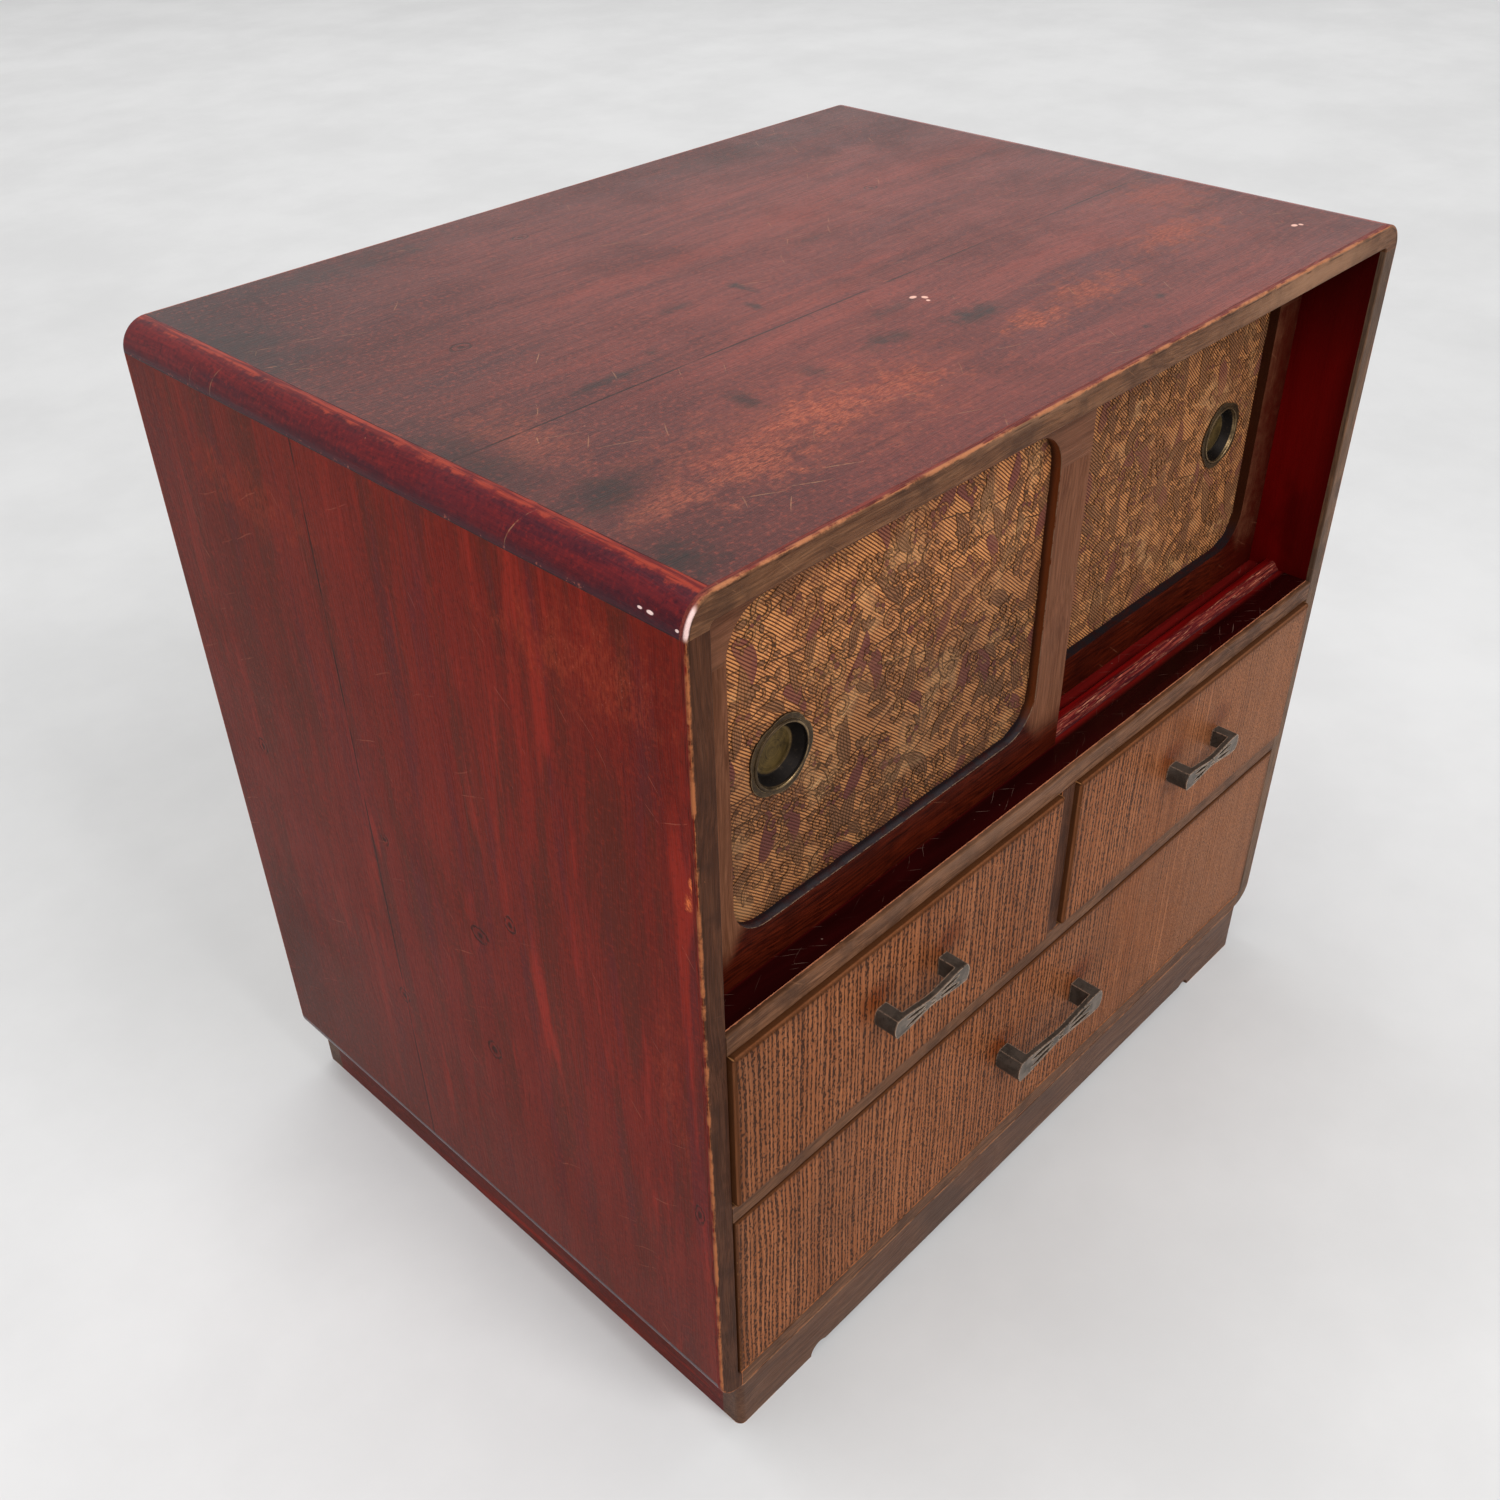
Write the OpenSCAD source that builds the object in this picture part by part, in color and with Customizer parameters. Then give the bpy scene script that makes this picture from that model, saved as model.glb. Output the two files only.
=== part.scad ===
// Low lacquered chest with two sliding fabric doors over three drawers.
// The front plane of the case is y = 0 while drawing; in_row() centres the finished chest.

/* [Case] */
// Overall width of the case
case_w = 500; // [440:1:620]
// Depth of the case without the handles
case_d = 360; // [320:1:460]
// Height of the case with its plinth
case_h = 485; // [450:1:600]
// Thickness of the case boards
board_t = 11.5; // [10:0.5:15]
// Radius of the cove inside the rounded corner blocks
cove_r = 2.5; // [1:0.5:3.5]
// Thickness of the lippings on the front edges
lipping_t = 3; // [2:0.5:5]
// Joint of the side boards, from the front
side_joint_y = 227; // [150:1:270]
// Joint of the top boards, from the front
top_joint_y = 136; // [90:1:220]
// Thickness of the boards that close the back
back_t = 5; // [3:0.5:8]

/* [Plinth] */
// Height of the plinth
plinth_h = 34.5; // [26:0.5:60]
// Distance of the plinth ends inside the case sides
plinth_inset = 11.5; // [4:0.5:20]
// Thickness of the plinth boards
plinth_t = 12; // [9:0.5:18]
// Height of the cut between the front feet
plinth_cut_h = 4.7; // [4.5:0.1:10]
// Length of each front foot
plinth_foot_l = 53; // [30:1:90]
// Rounding of the upright plinth corners
plinth_corner_r = 4; // [1:0.5:6]

/* [Compartments] */
// Height of the wide drawer opening
wide_opening_h = 117.5; // [80:0.5:140]
// Height of the two small drawer openings
small_opening_h = 95.5; // [70:0.5:110]

/* [Doors] */
// Distance of the front door behind the front plane
door_setback = 17; // [12:0.5:30]
// Thickness of the doors
door_t = 17; // [15:0.5:22]
// Air between the two doors
door_air = 4.5; // [3:0.5:8]
// How far the closed doors cover each other
door_overlap = 20; // [10:1:30]
// Width of the stiles and of the bottom rail
door_frame_w = 22.5; // [16:0.5:30]
// Visible height of the top rail
door_top_rail_h = 5.7; // [5:0.1:16]
// Corner radius of the fabric field
door_field_r = 20; // [8:1:30]
// Depth of the fabric behind the door frame
fabric_recess = 5.5; // [3:0.5:7]
// Height of the sliding rails on the ledge
track_h = 4.7; // [3:0.1:6]

/* [Drawers] */
// How far the small drawer fronts stand proud
small_front_proud = 3; // [0:0.5:6]
// How far the wide drawer front stands proud
wide_front_proud = 0.5; // [0:0.5:6]
// Gap round each drawer front
front_gap = 1.2; // [1:0.1:2]
// Rounding of the small drawer fronts
small_front_ease = 2; // [0.5:0.25:2.5]
// Rounding of the wide drawer front
wide_front_ease = 1.2; // [0.5:0.1:2.5]
// Clear space behind the drawers
drawer_stop_gap = 15; // [5:1:60]

/* [Handles] */
// Length of the small handles
small_handle_l = 54; // [44:1:90]
// Reach of the small handles
small_handle_reach = 12.3; // [10:0.1:20]
// Height of the small handle ends
small_handle_h = 10.5; // [9:0.5:14]
// Length of the wide handle
wide_handle_l = 79; // [60:1:140]
// Reach of the wide handle
wide_handle_reach = 15; // [12:0.5:24]
// Height of the wide handle ends
wide_handle_h = 13.5; // [10:0.5:18]
// Height of the handles above the middle of their drawers
handle_rise = 3; // [0:0.5:10]

/* [Finger pulls] */
// Width of the five-lobed plate
pull_plate_d = 36.5; // [34:0.5:46]
// Width of the cup at its lip
pull_cup_d = 28; // [24:0.5:30]
// Width of the flat cup floor
pull_floor_d = 21; // [16:0.5:22]
// Depth of the cup below its lip
pull_depth = 6; // [4.5:0.1:6.5]
// Distance of the cup from the outer door edge
pull_edge = 55.5; // [45:0.5:90]
// Height of the cup above the door foot
pull_height = 96.7; // [70:0.1:130]

/* [Hidden] */
$fn = 64;

over = 1;
half_w = case_w / 2;
inner_half = half_w - board_t;
corner_r = board_t + cove_r;
flat_half = half_w - corner_r;
lipping_ease = 0.8;
tongue_t = 4;
tongue_l = 4;
housing = 4;
rabbet = 6;

// Levels from the floor up
floor_z = plinth_h + board_t;
mid_z = floor_z + wide_opening_h;
small_z = mid_z + board_t;
shelf_z = small_z + small_opening_h;
ledge_z = shelf_z + board_t;
ceiling_z = case_h - board_t;
back_y = case_d - back_t;
mid_rail_d = 40;
rear_rail_d = 20;
side_runner_w = 20;
centre_runner_w = 40;

// Doors and their tracks
door_pitch = door_t + door_air;
back_door_y = door_setback + door_pitch;
door_side_clear = 0.5;
door_w = inner_half + door_overlap / 2 - door_side_clear;
door_foot_clear = 0.3;
track_w = 9;
track_inset = 3;
track_clear = 0.4;
track_slope_w = 3.8;
track_edge = 0.7;
tongue_clear = 0.5;
batten_h = track_h + 3.3;
batten_lip = 5;
batten_back_w = 8.5;
shoulder_clear = 0.8;
tongue_up = 3.5;
door_foot_z = ledge_z + door_foot_clear;
door_h = ceiling_z - batten_h - shoulder_clear - door_foot_z;
field_x0 = door_frame_w;
field_x1 = door_w - door_frame_w;
field_z0 = door_frame_w - door_foot_clear;
field_z1 = door_h - door_top_rail_h;
fabric_t = 0.6;
panel_t = 3.8;
panel_edge = 5;
panel_clear = 0.2;
tenon_w = 10;
tenon_t = 5;
tenon_l = 10;
tenon_y = door_t - tenon_t - 1;

// Finger pulls
plate_t = 1;
lip_r = 0.8;
cup_wall = 0.7;
lobe_count = 5;
lobe_shift = pull_plate_d / 7;
pull_hole_r = pull_cup_d / 2 + cup_wall + 0.3;

// Drawers
front_t = 15;
front_lap = 8;
side_t = 8;
drawer_back_t = 8;
run_gap = 0.4;
side_drop = 6;
side_ease = max(2, cove_r - 1);
bottom_t = 4;
bottom_up = 6;
groove_d = 4;
groove_clear = 0.2;
small_opening_w = inner_half - board_t / 2;
small_centre = (inner_half + board_t / 2) / 2;
wide_opening_w = 2 * inner_half;
drawer_end = back_y - drawer_stop_gap;

// Handles and their screws
bar_t = 3;
post_w = 8;
rib_t = 1.3;
rim_t = 1.3;
waist_share = 0.48;
screw_r = 1.5;
screw_hole_r = 1.7;
screw_socket_r = 1.55;
screw_bite = 6;
screw_head_r = 3.2;
screw_head_t = 1.8;
screw_slot_w = 0.9;

// Front reach of the finished chest, used to centre it
front_reach = max(wide_front_proud + wide_handle_reach, small_front_proud + small_handle_reach);
row_y = (front_reach - case_d) / 2;

lacquer = [0.36, 0.12, 0.09];
dark_lacquer = [0.28, 0.10, 0.10];
gloss_red = [0.30, 0.02, 0.02];
edge_wood = [0.36, 0.27, 0.20];
brown_wood = [0.42, 0.27, 0.20];
oak = [0.56, 0.35, 0.22];
plain_wood = [0.68, 0.52, 0.35];
weave = [0.66, 0.46, 0.27];
iron = [0.16, 0.17, 0.15];
bronze = [0.30, 0.30, 0.22];

// Moves the drawing so that the chest is centred over the origin
module in_row() {
    translate([0, row_y, 0]) children();
}

// A block between two corners
module block(low, high) {
    translate(low) cube(high - low);
}

// A front view outline, run from depth y0 back to y1
module in_depth(y0, y1) {
    translate([0, y1, 0]) rotate([90, 0, 0]) linear_extrude(height = y1 - y0) children();
}

// A side view outline (depth, height), run from x0 to x1
module in_width(x0, x1) {
    translate([x0, 0, 0]) rotate([90, 0, 90]) linear_extrude(height = x1 - x0) children();
}

// A plan outline, run from z0 up to z1
module in_height(z0, z1) {
    translate([0, 0, z0]) linear_extrude(height = z1 - z0) children();
}

// The same shape on the left and on the right
module both_sides() {
    children();
    mirror([1, 0, 0]) children();
}

// A strip with its two front edges rounded; the front is y = 0
module eased_strip(w, t, r) {
    translate([r, 0]) square([w - 2 * r, t]);
    translate([0, r]) square([w, t - r]);
    translate([r, r]) circle(r);
    translate([w - r, r]) circle(r);
}

// The same strip standing upright in a side view
module eased_strip_upright(w, t, r) {
    mirror([1, -1]) eased_strip(w, t, r);
}

// A rectangle with all four corners rounded
module rounded_field(x0, z0, x1, z1, r) {
    translate([x0 + r, z0]) square([x1 - x0 - 2 * r, z1 - z0]);
    translate([x0, z0 + r]) square([x1 - x0, z1 - z0 - 2 * r]);
    for (x = [x0 + r, x1 - r], z = [z0 + r, z1 - r]) translate([x, z]) circle(r);
}

// --- case boards ---

module back_rabbet() {
    lap_half = inner_half + rabbet;
    block([-lap_half, back_y, floor_z - rabbet], [lap_half, case_d + over, ceiling_z + rabbet]);
}

module top_section() {
    translate([-flat_half, ceiling_z]) square([2 * flat_half, board_t]);
    tongue_half = flat_half + tongue_l;
    translate([-tongue_half, case_h - board_t / 2 - tongue_t / 2])
        square([2 * tongue_half, tongue_t]);
}

module bottom_section() {
    translate([-flat_half, plinth_h]) square([2 * flat_half, board_t]);
    tongue_half = flat_half + tongue_l;
    translate([-tongue_half, plinth_h + board_t / 2 - tongue_t / 2])
        square([2 * tongue_half, tongue_t]);
}

module side_section() {
    side_low = plinth_h + corner_r;
    side_high = case_h - corner_r;
    translate([inner_half, side_low]) square([board_t, side_high - side_low]);
    translate([half_w - board_t / 2 - tongue_t / 2, side_low - tongue_l])
        square([tongue_t, side_high - side_low + 2 * tongue_l]);
}

module side_housings() {
    block([inner_half - over, lipping_t, shelf_z], [inner_half + housing, back_y, ledge_z]);
    block([inner_half - over, lipping_t, mid_z], [inner_half + housing, mid_rail_d, small_z]);
}

module side_board(y0, y1) {
    difference() {
        in_depth(y0, y1) side_section();
        side_housings();
        back_rabbet();
    }
}

// Quarter of the ring that rounds a long edge, grooved for both tongues
module corner_section() {
    groove_l = tongue_l + 0.3;
    groove_low = corner_r - board_t / 2 - tongue_t / 2;
    difference() {
        intersection() {
            circle(corner_r);
            square(corner_r);
        }
        circle(cove_r);
        translate([-over, groove_low]) square([groove_l + over, tongue_t]);
        translate([groove_low, -over]) square([tongue_t, groove_l + over]);
    }
}

module top_corner() {
    difference() {
        in_depth(lipping_t, case_d) translate([flat_half, case_h - corner_r]) corner_section();
        back_rabbet();
    }
}

module bottom_corner() {
    difference() {
        in_depth(lipping_t, case_d)
            translate([flat_half, plinth_h + corner_r]) mirror([0, 1]) corner_section();
        back_rabbet();
    }
}

module top_front_board() {
    color(lacquer) in_row() in_depth(lipping_t, top_joint_y) top_section();
}

module top_back_board() {
    color(lacquer) in_row() difference() {
        in_depth(top_joint_y, case_d) top_section();
        back_rabbet();
    }
}

module left_side_front_board() {
    color(lacquer) in_row() mirror([1, 0, 0]) side_board(lipping_t, side_joint_y);
}

module left_side_back_board() {
    color(lacquer) in_row() mirror([1, 0, 0]) side_board(side_joint_y, case_d);
}

module right_side_front_board() {
    color(lacquer) in_row() side_board(lipping_t, side_joint_y);
}

module right_side_back_board() {
    color(lacquer) in_row() side_board(side_joint_y, case_d);
}

module top_left_corner() {
    color(dark_lacquer) in_row() mirror([1, 0, 0]) top_corner();
}

module top_right_corner() {
    color(dark_lacquer) in_row() top_corner();
}

module bottom_left_corner() {
    color(dark_lacquer) in_row() mirror([1, 0, 0]) bottom_corner();
}

module bottom_right_corner() {
    color(dark_lacquer) in_row() bottom_corner();
}

module bottom_board() {
    color(plain_wood) in_row() difference() {
        in_depth(lipping_t, case_d) bottom_section();
        back_rabbet();
    }
}

// Ledge in front of the doors and floor of the cupboard, housed in both sides
module shelf_board() {
    shelf_half = inner_half + housing;
    color(gloss_red) in_row() difference() {
        block([-shelf_half, lipping_t, shelf_z], [shelf_half, back_y, ledge_z]);
        block([-board_t / 2, lipping_t - over, shelf_z - over],
            [board_t / 2, back_y + over, shelf_z + housing]);
    }
}

module mid_rail() {
    color(edge_wood) in_row() {
        in_width(-inner_half, inner_half)
            translate([0, mid_z]) eased_strip_upright(board_t, mid_rail_d, lipping_ease);
        rail_half = inner_half + housing;
        block([-rail_half, lipping_t, mid_z], [rail_half, mid_rail_d, small_z]);
    }
}

module rear_rail() {
    color(plain_wood) in_row()
        block([-inner_half, back_y - rear_rail_d, mid_z], [inner_half, back_y, small_z]);
}

// Runners that carry the small drawers between the two cross rails
module drawer_runners() {
    runner_back = back_y - rear_rail_d;
    color(plain_wood) in_row() {
        both_sides()
            block([inner_half - side_runner_w, mid_rail_d, mid_z],
                [inner_half, runner_back, small_z]);
        block([-centre_runner_w / 2, mid_rail_d, mid_z],
            [centre_runner_w / 2, runner_back, small_z]);
    }
}

module divider_panel() {
    color(plain_wood) in_row()
        block([-board_t / 2, lipping_t, small_z], [board_t / 2, back_y, shelf_z + housing]);
}

module divider_lipping() {
    color(edge_wood) in_row() in_height(small_z, shelf_z)
        translate([-board_t / 2, 0]) eased_strip(board_t, lipping_t, lipping_ease);
}

// --- front lippings ---

// Quarter turn of the lipping round an upper right corner
module lipping_corner() {
    rotate([90, 0, 0]) rotate_extrude(angle = 90)
        translate([cove_r, 0]) mirror([0, 1]) eased_strip(board_t, lipping_t, lipping_ease);
}

module side_lipping() {
    in_height(plinth_h + corner_r, case_h - corner_r)
        translate([inner_half, 0]) eased_strip(board_t, lipping_t, lipping_ease);
    translate([flat_half, 0, plinth_h + corner_r]) mirror([0, 0, 1]) lipping_corner();
}

module top_lipping() {
    color(edge_wood) in_row() {
        in_width(-flat_half, flat_half)
            translate([0, ceiling_z]) eased_strip_upright(board_t, lipping_t, lipping_ease);
        both_sides() translate([flat_half, 0, case_h - corner_r]) lipping_corner();
    }
}

module left_lipping() {
    color(edge_wood) in_row() mirror([1, 0, 0]) side_lipping();
}

module right_lipping() {
    color(edge_wood) in_row() side_lipping();
}

module shelf_lipping() {
    color(edge_wood) in_row() in_width(-inner_half, inner_half)
        translate([0, shelf_z]) eased_strip_upright(board_t, lipping_t, lipping_ease);
}

module bottom_lipping() {
    color(edge_wood) in_row() in_width(-flat_half, flat_half)
        translate([0, plinth_h]) eased_strip_upright(board_t, lipping_t, lipping_ease);
}

// --- door tracks ---

// A raised rail with a worn, sloping front, seen from the side
module track_section(door_y) {
    y0 = door_y + track_inset;
    y1 = y0 + track_w;
    polygon([
        [y0, 0],
        [y0 + track_slope_w - track_edge, track_h - track_edge],
        [y0 + track_slope_w, track_h],
        [y1 - track_edge, track_h],
        [y1, track_h - track_edge],
        [y1, 0]
    ]);
}

module track_rails() {
    color(gloss_red) in_row() for (door_y = [door_setback, back_door_y])
        in_width(-inner_half, inner_half) translate([0, ledge_z]) track_section(door_y);
}

// Three battens under the top; the door tongues run between them
module upper_track_battens() {
    slot_front = door_setback + track_inset;
    back_slot_front = back_door_y + track_inset;
    batten_low = ceiling_z - batten_h;
    color(edge_wood) in_row() {
        block([-flat_half, slot_front - batten_lip - track_inset, batten_low],
            [flat_half, slot_front, ceiling_z]);
        block([-flat_half, slot_front + track_w, batten_low],
            [flat_half, back_slot_front, ceiling_z]);
        block([-flat_half, back_slot_front + track_w, batten_low],
            [flat_half, back_slot_front + track_w + batten_back_w, ceiling_z]);
    }
}

// --- back and plinth ---

module back_boards() {
    board_gap = 0.4;
    lap_half = inner_half + rabbet;
    split_z = shelf_z + board_t / 2;
    color(plain_wood) in_row() {
        block([-lap_half, back_y, floor_z - rabbet],
            [lap_half, case_d - board_gap, split_z - board_gap / 2]);
        block([-lap_half, back_y, split_z + board_gap / 2],
            [lap_half, case_d - board_gap, ceiling_z + rabbet]);
    }
}

// Round heads of the nails that hold the back boards to the shelf and the rear rail
module back_nails() {
    nail_count = 7;
    nail_step = 2 * (inner_half - 20) / (nail_count - 1);
    board_face = case_d - 0.4;
    color(iron) in_row() for (z = [mid_z + board_t / 2, shelf_z + 2.5, ledge_z - 2.5])
        for (i = [0 : nail_count - 1])
            translate([-inner_half + 20 + i * nail_step, board_face, z])
                rotate([-90, 0, 0]) cylinder(h = 0.4, r = 1.6);
}

// Front view of the cut between the feet, with a small cusp at each foot
module plinth_cut_section() {
    cusp_r = plinth_cut_h + 1.8;
    cut_half = half_w - plinth_inset - plinth_foot_l;
    difference() {
        union() {
            translate([-cut_half + cusp_r, -over])
                square([2 * (cut_half - cusp_r), plinth_cut_h + over]);
            for (side = [-1, 1]) translate([side * (cut_half - cusp_r), 0]) circle(cusp_r);
        }
        translate([-half_w, -half_w]) square([case_w, half_w - over]);
    }
}

module plinth_front() {
    end_x = half_w - plinth_inset;
    r = plinth_corner_r;
    color(brown_wood) in_row() difference() {
        in_height(0, plinth_h) translate([-end_x, 0]) eased_strip(2 * end_x, plinth_t, r);
        in_depth(-over, plinth_t + over) plinth_cut_section();
    }
}

module plinth_back() {
    end_x = half_w - plinth_inset;
    color(brown_wood) in_row()
        block([-end_x, case_d - plinth_t, 0], [end_x, case_d, plinth_h]);
}

module plinth_side() {
    end_x = half_w - plinth_inset;
    block([end_x - plinth_t, plinth_t, 0], [end_x, case_d - plinth_t, plinth_h]);
}

module plinth_left() {
    color(lacquer) in_row() mirror([1, 0, 0]) plinth_side();
}

module plinth_right() {
    color(lacquer) in_row() plinth_side();
}

// --- sliding doors, drawn from their outer foot corner with the face at y = 0 ---

module place_left_door() {
    translate([-inner_half + door_side_clear, door_setback, door_foot_z]) children();
}

module place_right_door() {
    translate([inner_half - door_side_clear, back_door_y, door_foot_z])
        mirror([1, 0, 0]) children();
}

module door_field() {
    rounded_field(field_x0, field_z0, field_x1, field_z1, door_field_r);
}

// Groove that holds the fabric and its backing board
module panel_groove() {
    groove_end = fabric_recess + fabric_t + panel_t + panel_clear;
    block([field_x0 - panel_edge, fabric_recess, field_z0 - panel_edge],
        [field_x1 + panel_edge, groove_end, field_z1 + min(panel_edge, door_top_rail_h - 1)]);
}

module door_panel_size(y0, y1) {
    e = panel_edge - panel_clear;
    top_e = min(panel_edge, door_top_rail_h - 1) - panel_clear;
    difference() {
        block([field_x0 - e, y0, field_z0 - e], [field_x1 + e, y1, field_z1 + top_e]);
        translate([pull_edge, y0 - over, pull_height])
            rotate([-90, 0, 0]) cylinder(h = y1 - y0 + 2 * over, r = pull_hole_r);
    }
}

// Sockets and tenons share this block, grown by a little for the sockets
module stile_tenon(x0, z0, z1) {
    block([x0, tenon_y, z0], [x0 + tenon_w, tenon_y + tenon_t, z1]);
}

function stile_middle(x) = x + (door_frame_w - tenon_w) / 2;

module stile_tenons(low, high) {
    for (x = [stile_middle(0), stile_middle(field_x1)]) stile_tenon(x, low, high);
}

module door_stiles() {
    stile_low = field_z0 + door_field_r;
    stile_high = field_z1 - door_field_r;
    difference() {
        for (x = [0, field_x1])
            block([x, 0, stile_low], [x + door_frame_w, door_t, stile_high]);
        panel_groove();
    }
    stile_tenons(stile_low - tenon_l, stile_high + tenon_l);
}

module door_bottom_rail() {
    rail_high = field_z0 + door_field_r;
    socket_clear = 0.3;
    difference() {
        block([0, 0, 0], [door_w, door_t, rail_high]);
        in_depth(-over, door_t + over) door_field();
        panel_groove();
        stile_tenons(rail_high - tenon_l - socket_clear, rail_high + over);
        block([-over, track_inset - track_clear, -over],
            [door_w + over, track_inset + track_w + track_clear, track_h + track_clear]);
    }
}

module door_top_rail() {
    rail_low = field_z1 - door_field_r;
    socket_clear = 0.3;
    difference() {
        union() {
            block([0, 0, rail_low], [door_w, door_t, door_h]);
            block([0, track_inset + tongue_clear, door_h],
                [door_w, track_inset + track_w - tongue_clear, door_h + tongue_up]);
        }
        in_depth(-over, door_t + over) door_field();
        panel_groove();
        stile_tenons(rail_low - over, rail_low + tenon_l + socket_clear);
    }
}

module door_panel() {
    door_panel_size(fabric_recess + fabric_t, fabric_recess + fabric_t + panel_t);
}

module door_fabric() {
    door_panel_size(fabric_recess, fabric_recess + fabric_t);
}

// Front view of the blossom shaped plate
module blossom(d) {
    lobe_r = d / 2 - lobe_shift;
    lobe_turn = 360 / lobe_count;
    for (i = [0 : lobe_count - 1])
        rotate(1 + i * lobe_turn) translate([lobe_shift, 0]) circle(lobe_r);
}

// Turned cup: radius across, height towards the room
module cup_profile() {
    lip_r_mid = pull_cup_d / 2 + lip_r;
    lip_high = plate_t + lip_r;
    floor_in = lip_high - pull_depth;
    floor_r = pull_floor_d / 2;
    rim_r = pull_cup_d / 2;
    polygon([
        [0, floor_in - cup_wall],
        [floor_r + cup_wall * 0.6, floor_in - cup_wall],
        [rim_r + cup_wall, 0],
        [lip_r_mid, plate_t],
        [rim_r, plate_t],
        [rim_r - 0.25, plate_t * 0.4],
        [floor_r + 0.5, floor_in + 0.35],
        [floor_r, floor_in],
        [0, floor_in]
    ]);
    translate([lip_r_mid, plate_t]) circle(lip_r);
}

module finger_pull() {
    translate([pull_edge, fabric_recess, pull_height]) rotate([90, 0, 0]) {
        linear_extrude(height = plate_t) difference() {
            blossom(pull_plate_d);
            circle(pull_cup_d / 2 + cup_wall / 2);
        }
        rotate_extrude() cup_profile();
    }
}

module left_door_stiles() {
    color(brown_wood) in_row() place_left_door() door_stiles();
}

module left_door_top_rail() {
    color(brown_wood) in_row() place_left_door() door_top_rail();
}

module left_door_bottom_rail() {
    color(brown_wood) in_row() place_left_door() door_bottom_rail();
}

module left_door_panel() {
    color(plain_wood) in_row() place_left_door() door_panel();
}

module left_door_fabric() {
    color(weave) in_row() place_left_door() door_fabric();
}

module left_finger_pull() {
    color(bronze) in_row() place_left_door() finger_pull();
}

module right_door_stiles() {
    color(brown_wood) in_row() place_right_door() door_stiles();
}

module right_door_top_rail() {
    color(brown_wood) in_row() place_right_door() door_top_rail();
}

module right_door_bottom_rail() {
    color(brown_wood) in_row() place_right_door() door_bottom_rail();
}

module right_door_panel() {
    color(plain_wood) in_row() place_right_door() door_panel();
}

module right_door_fabric() {
    color(weave) in_row() place_right_door() door_fabric();
}

module right_finger_pull() {
    color(bronze) in_row() place_right_door() finger_pull();
}

// --- drawers, drawn centred on their opening; z counts from its floor ---

module place_left_drawer() {
    translate([-small_centre, 0, small_z]) children();
}

module place_right_drawer() {
    translate([small_centre, 0, small_z]) children();
}

module place_wide_drawer() {
    translate([0, 0, floor_z]) children();
}

// Grooves for the drawer bottom, cut in the front and the sides
module bottom_groove(half, y0) {
    block([-half, y0, bottom_up], [half, drawer_end + over, bottom_up + bottom_t]);
}

module drawer_front(w, h, proud, ease, handle_l, handle_h) {
    half = w / 2 - front_gap;
    back = front_t - proud;
    groove_half = half - side_t + groove_d;
    difference() {
        intersection() {
            in_height(front_gap, h - front_gap)
                translate([-half, -proud]) eased_strip(2 * half, front_t, ease);
            in_width(-half, half)
                translate([-proud, front_gap])
                    eased_strip_upright(h - 2 * front_gap, front_t, ease);
        }
        both_sides()
            block([half - side_t, front_lap - proud, -over], [half + over, back + over, h + over]);
        bottom_groove(groove_half, back - groove_d);
        for (side = [-1, 1])
            translate([side * post_middle(handle_l, handle_h), -proud - over, h / 2 + handle_rise])
                rotate([-90, 0, 0]) cylinder(h = front_t + 2 * over, r = screw_hole_r);
    }
}

// Front view of one side board; its lower outer edge clears the coved case corner
module drawer_side_section(half, high) {
    polygon([
        [half - side_t, run_gap],
        [half - side_ease, run_gap],
        [half, run_gap + side_ease],
        [half, high],
        [half - side_t, high]
    ]);
}

module drawer_sides(w, h, proud) {
    half = w / 2 - front_gap;
    difference() {
        both_sides() in_depth(front_lap - proud, drawer_end)
            drawer_side_section(half, h - side_drop);
        bottom_groove(half - side_t + groove_d, front_lap - proud - over);
    }
}

module drawer_back(w, h) {
    half = w / 2 - front_gap - side_t;
    block([-half, drawer_end - drawer_back_t, bottom_up + bottom_t],
        [half, drawer_end, h - side_drop]);
}

module drawer_bottom(w, proud) {
    half = w / 2 - front_gap - side_t + groove_d - groove_clear;
    block([-half, front_t - proud - groove_d + groove_clear, bottom_up],
        [half, drawer_end, bottom_up + bottom_t]);
}

// --- handles: the foot of the posts is y = 0, the bar is in front of it ---

function post_width(h) = max(post_w, h * 0.72);

function post_middle(l, h) = l / 2 - post_width(h) / 2;

// Front view of both posts, gently rounded on their outer side
module post_section(l, h) {
    outer_r = h * 0.8;
    for (side = [-1, 1]) intersection() {
        translate([side * (l / 2 - outer_r), 0]) circle(outer_r);
        translate([side * post_middle(l, h), 0]) square([post_width(h), h], center = true);
    }
}

// A pointed slot, wide in the middle
module leaf(l, w) {
    r = (l * l / 4 + w * w / 4) / w;
    intersection() {
        translate([0, r - w / 2]) circle(r);
        translate([0, w / 2 - r]) circle(r);
    }
}

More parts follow.
